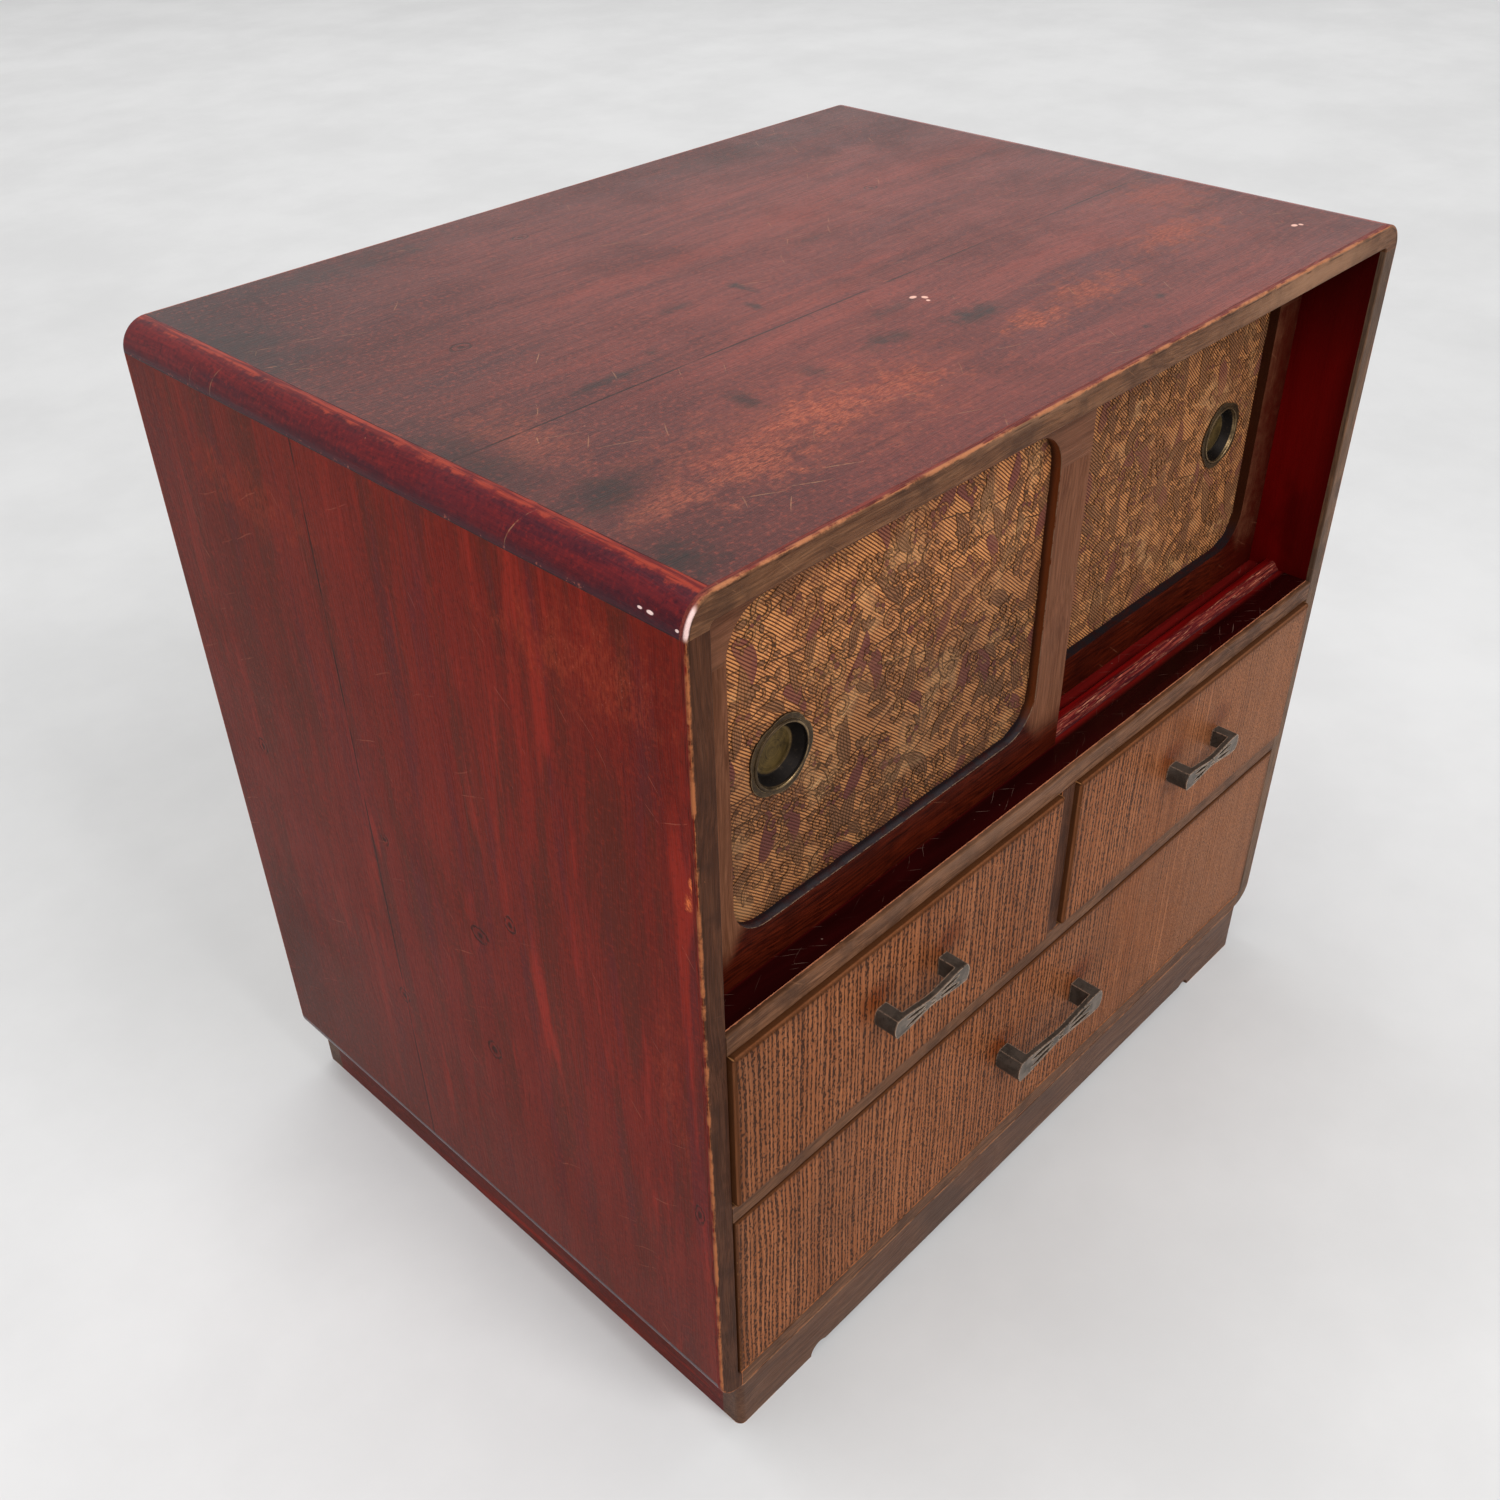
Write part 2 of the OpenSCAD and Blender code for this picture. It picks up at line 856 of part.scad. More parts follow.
// Front view of the waisted bar: a middle rib, two rims and pointed slots between them
module bar_section(l, h) {
    waist = h * waist_share;
    end_x = l / 2 - post_width(h);
    knot_x = waist / 2;
    leaf_l = l * 0.27;
    leaf_x = l * 0.225;
    rim_rise = (h / 2 - waist / 2) / (end_x - knot_x);
    leaf_high = waist / 2 + (leaf_x - knot_x) * rim_rise - rim_t;
    leaf_z = (leaf_high + rib_t / 2) / 2;
    leaf_turn = atan(rim_rise / 2);
    knot_leaf_w = waist / 2 - rib_t / 2 - rim_t * 0.6;
    difference() {
        union() {
            polygon([
                [-end_x, -h / 2], [-knot_x, -waist / 2], [knot_x, -waist / 2], [end_x, -h / 2],
                [end_x, h / 2], [knot_x, waist / 2], [-knot_x, waist / 2], [-end_x, h / 2]
            ]);
            post_section(l, h);
        }
        for (side = [-1, 1], up = [-1, 1])
            translate([side * leaf_x, up * leaf_z])
                rotate(side * up * leaf_turn) leaf(leaf_l, (leaf_high - rib_t / 2) * 0.95);
        for (up = [-1, 1]) translate([0, up * (rib_t / 2 + knot_leaf_w / 2)])
            leaf(waist * 0.85, knot_leaf_w);
    }
}

module pull_handle(l, reach, h) {
    difference() {
        union() {
            in_depth(-reach, -reach + bar_t) bar_section(l, h);
            in_depth(-reach + bar_t / 2, 0) post_section(l, h);
        }
        for (side = [-1, 1]) translate([side * post_middle(l, h), over, 0])
            rotate([90, 0, 0]) cylinder(h = screw_bite + 0.5 + over, r = screw_socket_r);
    }
}

// Two slotted screws, driven from inside the drawer
module handle_screws(l, h, proud) {
    back = front_t - proud;
    for (side = [-1, 1]) translate([side * post_middle(l, h), 0, 0]) difference() {
        union() {
            translate([0, -proud - screw_bite, 0]) rotate([-90, 0, 0])
                cylinder(h = front_t + screw_bite + 0.5, r = screw_r);
            translate([0, back, 0]) rotate([-90, 0, 0])
                cylinder(h = screw_head_t, r1 = screw_head_r, r2 = screw_head_r * 0.8);
        }
        block([-screw_head_r - over, back + screw_head_t / 2, -screw_slot_w / 2],
            [screw_head_r + over, back + screw_head_t + over, screw_slot_w / 2]);
    }
}

module small_handle() {
    translate([0, -small_front_proud, small_opening_h / 2 + handle_rise])
        pull_handle(small_handle_l, small_handle_reach, small_handle_h);
}

module small_handle_screws() {
    translate([0, 0, small_opening_h / 2 + handle_rise])
        handle_screws(small_handle_l, small_handle_h, small_front_proud);
}

module small_front() {
    drawer_front(small_opening_w, small_opening_h, small_front_proud, small_front_ease,
        small_handle_l, small_handle_h);
}

module left_drawer_front() {
    color(oak) in_row() place_left_drawer() small_front();
}

module left_drawer_sides() {
    color(plain_wood) in_row() place_left_drawer()
        drawer_sides(small_opening_w, small_opening_h, small_front_proud);
}

module left_drawer_back() {
    color(plain_wood) in_row() place_left_drawer()
        drawer_back(small_opening_w, small_opening_h);
}

module left_drawer_bottom() {
    color(plain_wood) in_row() place_left_drawer()
        drawer_bottom(small_opening_w, small_front_proud);
}

module left_handle() {
    color(iron) in_row() place_left_drawer() small_handle();
}

module left_handle_screws() {
    color(iron) in_row() place_left_drawer() small_handle_screws();
}

module right_drawer_front() {
    color(oak) in_row() place_right_drawer() small_front();
}

module right_drawer_sides() {
    color(plain_wood) in_row() place_right_drawer()
        drawer_sides(small_opening_w, small_opening_h, small_front_proud);
}

module right_drawer_back() {
    color(plain_wood) in_row() place_right_drawer()
        drawer_back(small_opening_w, small_opening_h);
}

module right_drawer_bottom() {
    color(plain_wood) in_row() place_right_drawer()
        drawer_bottom(small_opening_w, small_front_proud);
}

module right_handle() {
    color(iron) in_row() place_right_drawer() small_handle();
}

module right_handle_screws() {
    color(iron) in_row() place_right_drawer() small_handle_screws();
}

module wide_drawer_front() {
    color(oak) in_row() place_wide_drawer()
        drawer_front(wide_opening_w, wide_opening_h, wide_front_proud, wide_front_ease,
            wide_handle_l, wide_handle_h);
}

module wide_drawer_sides() {
    color(plain_wood) in_row() place_wide_drawer()
        drawer_sides(wide_opening_w, wide_opening_h, wide_front_proud);
}

module wide_drawer_back() {
    color(plain_wood) in_row() place_wide_drawer()
        drawer_back(wide_opening_w, wide_opening_h);
}

module wide_drawer_bottom() {
    color(plain_wood) in_row() place_wide_drawer()
        drawer_bottom(wide_opening_w, wide_front_proud);
}

module wide_handle() {
    color(iron) in_row() place_wide_drawer()
        translate([0, -wide_front_proud, wide_opening_h / 2 + handle_rise])
            pull_handle(wide_handle_l, wide_handle_reach, wide_handle_h);
}

module wide_handle_screws() {
    color(iron) in_row() place_wide_drawer()
        translate([0, 0, wide_opening_h / 2 + handle_rise])
            handle_screws(wide_handle_l, wide_handle_h, wide_front_proud);
}

top_front_board();
top_back_board();
left_side_front_board();
left_side_back_board();
right_side_front_board();
right_side_back_board();
top_left_corner();
top_right_corner();
bottom_left_corner();
bottom_right_corner();
bottom_board();
shelf_board();
mid_rail();
rear_rail();
drawer_runners();
divider_panel();
divider_lipping();
top_lipping();
left_lipping();
right_lipping();
shelf_lipping();
bottom_lipping();
track_rails();
upper_track_battens();
back_boards();
back_nails();
plinth_front();
plinth_back();
plinth_left();
plinth_right();
left_door_stiles();
left_door_top_rail();
left_door_bottom_rail();
left_door_panel();
left_door_fabric();
left_finger_pull();
right_door_stiles();
right_door_top_rail();
right_door_bottom_rail();
right_door_panel();
right_door_fabric();
right_finger_pull();
left_drawer_front();
left_drawer_sides();
left_drawer_back();
left_drawer_bottom();
left_handle();
left_handle_screws();
right_drawer_front();
right_drawer_sides();
right_drawer_back();
right_drawer_bottom();
right_handle();
right_handle_screws();
wide_drawer_front();
wide_drawer_sides();
wide_drawer_back();
wide_drawer_bottom();
wide_handle();
wide_handle_screws();
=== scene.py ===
import bpy
import bmesh
import math
import random
from mathutils import Matrix, Vector


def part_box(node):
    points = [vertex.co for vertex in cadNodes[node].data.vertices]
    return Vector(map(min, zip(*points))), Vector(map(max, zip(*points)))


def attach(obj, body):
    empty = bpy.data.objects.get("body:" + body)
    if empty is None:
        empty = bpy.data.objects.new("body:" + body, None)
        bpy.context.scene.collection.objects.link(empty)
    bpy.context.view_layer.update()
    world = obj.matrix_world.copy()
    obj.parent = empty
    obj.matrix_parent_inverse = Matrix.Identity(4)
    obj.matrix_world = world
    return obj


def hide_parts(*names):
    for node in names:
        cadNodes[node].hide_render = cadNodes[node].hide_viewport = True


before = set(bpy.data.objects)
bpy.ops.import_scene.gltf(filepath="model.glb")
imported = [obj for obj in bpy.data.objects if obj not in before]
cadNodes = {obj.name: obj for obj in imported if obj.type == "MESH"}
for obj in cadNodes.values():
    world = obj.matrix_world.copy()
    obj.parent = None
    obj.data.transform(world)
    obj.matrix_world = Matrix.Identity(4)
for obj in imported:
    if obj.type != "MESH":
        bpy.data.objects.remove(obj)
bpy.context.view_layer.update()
stage = bpy.context.scene
fullTurn = 2 * math.pi
print("frame loaded:", len(cadNodes), "nodes")


# node values and the nodes that make them (all lengths inside the materials are millimetres)
class NodeValue:  # one output of a node, so that a material reads as plain arithmetic
    def __init__(self, socket):
        self.socket = socket
        self.tree = socket.id_data

    def __add__(self, other):
        return calc("ADD", self, other)

    def __radd__(self, other):
        return calc("ADD", other, self)

    def __sub__(self, other):
        return calc("SUBTRACT", self, other)

    def __rsub__(self, other):
        return calc("SUBTRACT", other, self)

    def __mul__(self, other):
        return calc("MULTIPLY", self, other)

    def __truediv__(self, other):
        return calc("DIVIDE", self, other)

    def __rtruediv__(self, other):
        return calc("DIVIDE", other, self)

    def __abs__(self):
        return calc("ABSOLUTE", self)


def plug(value, socket):
    if isinstance(value, NodeValue):
        value.tree.links.new(value.socket, socket)
    elif socket.type == "RGBA" and len(value) == 3:
        socket.default_value = (*value, 1.0)
    else:
        socket.default_value = value


def addNode(kind, output, inputs, tree=None, **settings):  # gives one output of a new node, or a list
    tree = tree or next(value.tree for value in inputs.values() if isinstance(value, NodeValue))
    made = tree.nodes.new(kind)
    for key, value in settings.items():
        setattr(made, key, value)
    for key, value in inputs.items():
        plug(value, made.inputs[key])
    if isinstance(output, list):
        return [NodeValue(made.outputs[key]) for key in output]
    return NodeValue(made.outputs[output])


def calc(operation, *values, clamp=False):
    inputs = dict(enumerate(values))
    if not any(isinstance(value, NodeValue) and value.socket.type == "VECTOR" for value in values):
        return addNode("ShaderNodeMath", 0, inputs, operation=operation, use_clamp=clamp)
    if operation == "MULTIPLY":  # a vector is only multiplied by a number here
        inputs, operation = {0: values[0], "Scale": values[1]}, "SCALE"
    output = "Value" if operation in ("LENGTH", "DOT_PRODUCT") else "Vector"
    return addNode("ShaderNodeVectorMath", output, inputs, operation=operation)


def highest(first, *others):
    for other in others:
        first = calc("MAXIMUM", first, other)
    return first


def remap(value, low, high, outLow=0.0, outHigh=1.0, smooth=True):
    inputs = dict(enumerate((value, low, high, outLow, outHigh)))
    return addNode("ShaderNodeMapRange", 0, inputs, interpolation_type="SMOOTHSTEP" if smooth else "LINEAR")


def blend(factor, a, b, mode="MIX"):
    settings = {"data_type": "RGBA", "blend_type": mode, "clamp_factor": True}
    return addNode("ShaderNodeMix", 2, {0: factor, 6: a, 7: b}, **settings)


def blendValue(factor, a, b):
    return addNode("ShaderNodeMix", 0, {0: factor, 2: a, 3: b}, data_type="FLOAT")


def noise(vector, size=1.0, detail=3.0, rough=0.5, distort=0.0, seed=None):
    inputs = {"Vector": vector, "Scale": 1.0 / size, "Detail": detail, "Roughness": rough}
    inputs["Distortion"] = distort
    if seed is not None:
        inputs["W"] = seed
    return addNode("ShaderNodeTexNoise", "Fac", inputs, noise_dimensions="3D" if seed is None else "4D")


def split(vector):
    return addNode("ShaderNodeSeparateXYZ", [0, 1, 2], {0: vector})


def join(x, y, z):
    return addNode("ShaderNodeCombineXYZ", 0, {0: x, 1: y, 2: z})


def turned(vector, angle, axis):
    inputs = {"Vector": vector, "Angle": angle}
    return addNode("ShaderNodeVectorRotate", 0, inputs, rotation_type=axis + "_AXIS")


def along(vector, axis):
    return split(vector)["XYZ".index(axis)]


# shared effects
def nodeGroup(**defaults):  # makes a node group of a function, and gives back a function that uses the group
    inputs = {"Vector": (0.0, 0.0, 0.0), **defaults}

    def makeGroup(build):
        tree = bpy.data.node_groups.new(build.__name__, "ShaderNodeTree")
        for label, value in inputs.items():
            kind = "NodeSocketVector" if isinstance(value, tuple) else "NodeSocketFloat"
            tree.interface.new_socket(name=label, in_out="INPUT", socket_type=kind).default_value = value
        given = tree.nodes.new("NodeGroupInput").outputs
        outputs = build(*[NodeValue(given[label]) for label in inputs])
        for label in outputs:
            tree.interface.new_socket(name=label, in_out="OUTPUT", socket_type="NodeSocketFloat")
        out = tree.nodes.new("NodeGroupOutput").inputs
        for label, value in outputs.items():
            plug(value, out[label])

        def useGroup(vector, **values):  # gives the output, or a list where the group has more than one
            made = addNode("ShaderNodeGroup", list(outputs), {"Vector": vector, **values}, node_tree=tree)
            return made if len(made) > 1 else made[0]
        return useGroup
    return makeGroup


@nodeGroup(FibreWidth=0.9, FibreLength=30.0, FigureWidth=18.0, Seed=0.0)
def woodGrain(vector, fibreWidth, fibreLength, figureWidth, seed):
    x, y, z = split(vector)
    sway = (noise(vector, 90.0, 1.0) - 0.5) * 14.0

    def stretched(width, length):
        return join((x + sway) / width, (y + sway) / width, z / length)

    fibre = noise(stretched(fibreWidth, fibreLength), 1.0, 4.0, 0.62, 0.2, seed)
    figure = noise(stretched(figureWidth, figureWidth * 11.0), 1.0, 3.0, 0.55, 0.9, seed)
    streak = noise(stretched(figureWidth * 0.22, figureWidth * 5.0), 1.0, 3.0, 0.6, 0.3, seed)
    found = {"Fibre": fibre, "Figure": figure, "Streak": streak}
    return {label: remap(value, 0.3, 0.7) for label, value in found.items()}


@nodeGroup(RowSpacing=2.7, DashLength=5.0, DashWidth=0.42, Amount=0.5)
def openPores(vector, rowSpacing, dashLength, dashWidth, amount):
    x, y, z = split(vector)
    across = x + (noise(join(x, y, z * 0.35), 38.0, 2.0) - 0.5) * 7.0
    uneven = (noise(join(across, 0.0, 0.0), 7.0, 2.0) - 0.5) * 7.0
    phase = calc("FRACT", (across + uneven) / rowSpacing)
    rows = remap(abs(phase - 0.5), 0.36, 0.12)
    dash = noise(join(across / dashWidth, y / dashWidth, z / dashLength), 1.0, 2.0)
    low = 0.62 - amount * (rows * 0.25 + 0.02)
    return {"Pores": remap(dash, low, low + 0.07), "Rows": rows}


@nodeGroup(Centre=(0.0, 0.0, 0.0), Half=(1.0, 1.0, 1.0), Width=2.0, Patch=22.0, Amount=0.5)
def edgeWear(vector, centre, half, width, patch, amount):
    x, y, z = split(half - abs(vector - centre))
    low = calc("MINIMUM", x, calc("MINIMUM", y, z))
    middle = x + y + z - (low + highest(x, y, z))
    ragged = width * (noise(vector, 2.4, 4.0, 0.65) * 2.4 - 0.55)
    rub = remap(middle, ragged, ragged * 0.35)
    there = remap(noise(vector, patch, 3.0, 0.6), 0.78 - amount * 0.6, 0.9 - amount * 0.6)
    return {"Wear": calc("MULTIPLY", rub, there, clamp=True), "Distance": middle}


@nodeGroup(Size=60.0, Low=0.45, High=0.6, Seed=0.0)
def blotch(vector, size, low, high, seed):
    return {"Mask": remap(noise(vector, size, 4.0, 0.6, 0.4, seed), low, high)}


@nodeGroup(Angle=0.3, Spacing=9.0, Length=24.0, Width=0.35, Amount=0.3, Seed=0.0)
def scratches(vector, angle, spacing, length, width, amount, seed):
    bend = join(0.0, noise(vector, 30.0, 1.0) - 0.5, 0.0) * 9.0
    x, y, z = split(turned(vector, angle, "Z") + bend)
    row = y / spacing
    rowId = calc("FLOOR", row)
    ofRow = {"Vector": join(rowId, seed, 0.0)}
    shift = addNode("ShaderNodeTexWhiteNoise", "Value", ofRow, noise_dimensions="3D")
    place = x / length + shift * 7.0
    ofStroke = {"Vector": join(rowId, calc("FLOOR", place), seed)}
    chosen = addNode("ShaderNodeTexWhiteNoise", "Color", ofStroke, noise_dimensions="3D")
    height, chance, strength = split(chosen)
    off = abs(calc("FRACT", row) - (height * 0.7 + 0.15)) * spacing
    share = calc("FRACT", place)
    thick = width * (share * (1.0 - share)) * 4.0
    line = remap(off, thick, thick * 0.3)
    broken = remap(noise(vector, 4.0, 3.0), 0.35, 0.55)
    return {"Mask": line * calc("LESS_THAN", chance, amount) * broken * (strength * 0.7 + 0.3)}


@nodeGroup(Cell=6.0, Size=0.5, Amount=0.3)
def specks(vector, cell, size, amount):
    cells = {"Vector": vector, "Scale": 1.0 / cell}
    away, chosen = addNode("ShaderNodeTexVoronoi", ["Distance", "Color"], cells)
    chance, bigness, unused = split(chosen)
    radius = size * (bigness * 0.9 + 0.3) / cell
    return {"Mask": remap(away, radius, radius * 0.5) * calc("LESS_THAN", chance, amount)}


@nodeGroup(Centre=(0.0, 0.0, 0.0), Radius=(10.0, 10.0, 10.0), Ragged=0.5, Soft=0.6)
def stain(vector, centre, radius, ragged, soft):
    away = calc("LENGTH", (vector - centre) / radius)
    away = away + (noise(vector, 9.0, 6.0, 0.72) - 0.5) * ragged * 3.6
    return {"Mask": remap(away, 1.0, 1.0 - soft), "Distance": away}


@nodeGroup(Pitch=1.6, Slope=0.82, Bead=0.9)
def twill(vector, pitch, slope, bead):
    x, y, z = split(vector)
    wander = (noise(vector, 26.0, 2.0) - 0.5) * 1.6
    turns = {"Line": (x * slope + z + wander) / (pitch * 1.29), "Bead": (x - z * slope) / bead}
    return {label: calc("SINE", value * fullTurn) * 0.5 + 0.5 for label, value in turns.items()}


@nodeGroup(Cell=14.0, Slim=0.4, Vein=2.3, Thread=0.42)
def leafFill(vector, cell, slim, vein, thread):  # small veined leaves on the x-z plane, turned at random
    x, y, z = split(vector)
    flat = join(x, z, 0.0)
    cells = {"Vector": flat, "Scale": 1.0 / cell, "Randomness": 0.65}
    chosen, middle = addNode("ShaderNodeTexVoronoi", ["Color", "Position"], cells, voronoi_dimensions="2D")
    angle, curve, bigness = split(chosen)
    u, v, w = split(turned(flat - middle, angle * fullTurn, "Z"))
    away = abs(v + u * u * (curve - 0.5) / cell)
    length = cell * (bigness * 0.16 + 0.44)
    level = 1.0 - calc("POWER", u / length, 2.0) - away / (length * slim)
    fill = remap(level, 0.0, 0.05)
    rim = fill * remap(level, 0.22, 0.12)
    midrib = remap(away, thread, thread * 0.5)
    slant = (u - away * 1.3) / vein
    veins = remap(calc("SINE", slant * fullTurn), 0.55, 0.95)
    return {"Fill": fill, "Line": fill * highest(rim, midrib, veins)}


print("shared effects built:", len(bpy.data.node_groups), "groups")


# places on the chest that the materials follow, in millimetres
cornerRadius = 14.0
caseCentre = (0.0, 7.75, 259.75)  # outside of the case, plinth left out
caseHalf = (250.0, 180.0, 225.25)
caseFront = caseCentre[1] - caseHalf[1]
caseTop = caseCentre[2] + caseHalf[2]
leftFace, rightFace = -caseHalf[0], caseHalf[0]
ledgeLacquerFrom = 281.4  # the ledge board is plain wood below this height
sideLacquerFrom = 276.0  # so are the inner faces of the sides
doorFront, clothPlane = -155.2, -150.2
fieldMiddle = 114.0  # from the middle of the chest to the middle of a door's cloth
railsFront = 1000.0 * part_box("track_rails")[0].y
patchDepth = 20.0  # how deep the mark of a patch goes below its face


def onTop(*patches):  # each is x, y, half its width, half its depth, and its strength where it has one
    return [((x, y, caseTop), (wide, deep, patchDepth), *rest) for x, y, wide, deep, *rest in patches]


def onSide(face, *patches):  # each is y, z, half its depth, half its height, and its strength
    return [((face, y, z), (patchDepth, deep, high), *rest) for y, z, deep, high, *rest in patches]


def pullCentre(side):
    low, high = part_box(side + "_finger_pull")
    return (low.x + high.x) / 2, (low.z + high.z) / 2


# materials
def startMaterial(name):
    material = bpy.data.materials.new(name)
    material.use_nodes = True
    tree = material.node_tree
    tree.nodes.clear()
    out = tree.nodes.new("ShaderNodeOutputMaterial")
    shader = tree.nodes.new("ShaderNodeBsdfPrincipled")
    tree.links.new(shader.outputs[0], out.inputs[0])
    return material, shader, addNode("ShaderNodeTexCoord", "Object", {}, tree) * 1000.0


def endMaterial(shader, base, rough, height=None, depth=0.1, **plain):
    plug(base, shader.inputs["Base Color"])
    plug(rough, shader.inputs["Roughness"])
    if height is not None:
        bump = {"Strength": 1.0, "Distance": depth / 1000.0, "Height": height}
        plug(addNode("ShaderNodeBump", 0, bump), shader.inputs["Normal"])
    for key, value in plain.items():
        plug(value, shader.inputs[key.replace("_", " ")])


def reordered(vector, order):
    parts = dict(zip("XYZ", split(vector)))
    return join(*[parts[axis] for axis in order])


def grainAlong(vector, axis):  # turned so that the grain runs along z
    return reordered(vector, {"X": "YZX", "Y": "ZXY", "Z": "XYZ"}[axis])


def facePlane(vector, axis):  # the two directions that lie in a face, as x and y
    return reordered(vector, {"X": "YZX", "Y": "XZY", "Z": "XYZ"}[axis])


def surfaceNormal(mm):
    return addNode("ShaderNodeNewGeometry", "Normal", {}, mm.tree)


def strongest(patches, mm, **shape):  # ragged patches, each with its centre, radius and strength
    masks = []
    for centre, radius, strength in patches:
        masks.append(stain(mm, Centre=centre, Radius=radius, **shape)[0] * strength)
    return highest(*masks) if masks else 0.0


def grownWood(mm, look, fibreLength):
    grain = grainAlong(mm, look["grain"])
    sizes = {"FibreWidth": look["fibreWidth"], "FigureWidth": look["figureWidth"]}
    fibre, figure, streak = woodGrain(grain, FibreLength=fibreLength, Seed=look["seed"], **sizes)
    base = blend(figure, look["deep"], look["body"])
    base = blend(streak * look["streaks"], base, look["bright"])
    base = blend((1.0 - fibre) * look["fibres"], base, look["dark"])
    return base, grain, fibre, figure, streak


def knotMask(mm, knots):
    if not knots:
        return 0.0
    broken = remap(noise(mm, 3.0, 3.0, 0.6), 0.36, 0.52)
    masks = []
    for centre, radius in knots:
        away = stain(mm, Centre=centre, Radius=radius, Ragged=0.22, Soft=0.5)[1]
        ring = remap(abs(away - 0.72), 0.16, 0.05) * broken
        masks.append(highest(ring, remap(away, 0.42, 0.22)) * 0.8)
    return highest(*masks)


def insideLayers(mm, face, base, rough, figure, streak, cloud):  # red in the cupboard with painted shade towards its front and top, raw wood below it
    x, y, z = split(mm)
    inner = remap(abs(x), face + 0.3, face + 0.1)
    red = blend(figure, (0.095, 0.0013, 0.0012), (0.16, 0.0028, 0.0022))
    nearFront = remap(y - cloud * 30.0, -138.0, caseFront + 0.25)
    nearTop = remap(z + cloud * 30.0, 350.0, 470.0)
    # painted shade: the red darkens towards the front and the top of the inner walls
    red = blend(highest(nearFront * 0.6, nearTop * 0.88), red, (0.022, 0.001, 0.001))
    raw = blend(streak, (0.23, 0.13, 0.065), (0.34, 0.2, 0.105))
    lacquered = remap(z, sideLacquerFrom, sideLacquerFrom + 0.6)
    rough = blendValue(inner, rough, blendValue(lacquered, 0.62, streak * 0.1 + 0.24))
    return blend(inner, base, blend(lacquered, raw, red)), rough


def agedTone(mm, look, base, grain, cloud):
    x, y, z = split(grain)
    wide = look["bandWidth"]
    for tint, seed, low, high, amount in look["bands"]:  # broad soft bands along the grain
        band = noise(join(x / wide, y / wide, z / (wide * 9)), 1.0, 4.0, 0.6, 0.6, seed)
        base = blend(remap(band, low, high) * amount, base, tint)
    drift = 0.0
    for axis, low, high, amount in look["drifts"]:  # the colour darkens from one side to the other
        part = remap(along(mm, axis) + (cloud - 0.5) * 40.0, low, high) * amount
        drift = calc("ADD", part, drift, clamp=True)
    base = blend(drift, base, look["aged"])
    mottle = noise(mm, look["mottleSize"], 4.0, 0.7)
    base = blend(remap(mottle, 0.5, 0.72) * look["mottles"], base, look["bright"])
    return blend(remap(mottle, 0.48, 0.3) * look["mottles"], base, look["dark"])


def patchLayers(mm, look, base, grain, fibre):  # rubbed places, stains and knots
    worn = strongest(look["worn"], mm, Ragged=0.95, Soft=0.95)
    fine = remap(noise(grain / (1.0, 1.0, 3.6), 1.1, 5.0, 0.75), 0.4, 0.6)
    base = blend((fine * 0.85 + 0.12) * worn, base, look["rubbed"])
    base = blend(remap(noise(mm, 1.1, 3.0, 0.7), 0.62, 0.7) * 0.6 * worn, base, look["fleck"])
    stained = strongest(look["stains"], mm, Ragged=0.7, Soft=0.95)
    base = blend((fibre * 0.4 + 0.6) * stained, base, look["stain"])
    knotted = knotMask(mm, look["knots"])
    return blend(knotted, base, look["knot"]), worn, knotted


def scratchLayers(mm, look, base):  # long dim scratches along the grain, short light ones across it
    plane, seed = facePlane(mm, look["face"]), look["seed"]
    long = {"Angle": look["grainAngle"], "Spacing": 7.0, "Length": 60.0, "Width": 0.45, "Amount": 0.22}
    short = {"Angle": 0.45, "Spacing": 11.0, "Length": 19.0, "Width": 0.4, "Amount": look["scratched"]}
    shorter = {"Angle": -0.9, "Spacing": 17.0, "Length": 13.0, "Width": 0.35}
    light = highest(scratches(plane, Seed=seed, **short),
                    scratches(plane, Seed=seed + 5.0, Amount=look["scratched"] * 0.8, **shorter))
    dim = scratches(plane, Seed=seed + 9.0, **long)
    base = blend(dim * 0.5, base, look["dark"])
    return blend(light * 0.55, base, look["scratch"]), light


def damageLayers(mm, look, base):  # pits, paint dots, open glue lines, scrapes, chips and worn edges
    pits = specks(mm, Cell=11.0, Size=0.5, Amount=0.35)
    base = blend(pits * 0.8, base, look["dark"])
    dots = specks(mm + (5.3, 7.1, 2.9), Cell=10.0, Size=0.36, Amount=0.3)
    base = blend(dots * 0.6, base, look["fleck"])
    for axis, place, low, high in look["seams"]:
        line = remap(abs(along(mm, axis) - place), 0.75, 0.25) * remap(noise(mm, 30.0, 3.0), low, high)
        base = blend(line * 0.85, base, (0.012, 0.006, 0.005))
    for centre, radius in look.get("scuffs", ()):  # scraped to the wood in short slanting strokes
        patch = stain(mm, Centre=centre, Radius=radius, Ragged=0.9, Soft=0.9)[0]
        strokes = remap(noise(turned(mm, 0.6, "X") / (1.0, 0.5, 3.0), 1.0, 3.0, 0.6), 0.4, 0.56)
        base = blend(patch * (strokes * 0.9 + 0.1), base, look["scuff"])
    base = chipLayers(mm, base, look.get("chips", ()), look.get("chip"))
    edges = {"Width": look["edgeWidth"], "Patch": 26.0, "Amount": look["edges"]}
    wear = edgeWear(mm, Centre=caseCentre, Half=caseHalf, **edges)[0]
    return blend(wear * 0.9, base, look["edge"]), pits


def chipLayers(mm, base, chips, tone):  # small sharp chips, each with its centre and radius
    for centre, radius in chips:
        chip = stain(mm, Centre=centre, Radius=radius, Ragged=0.12, Soft=0.4)[0]
        base = blend(chip, base, tone)
    return base


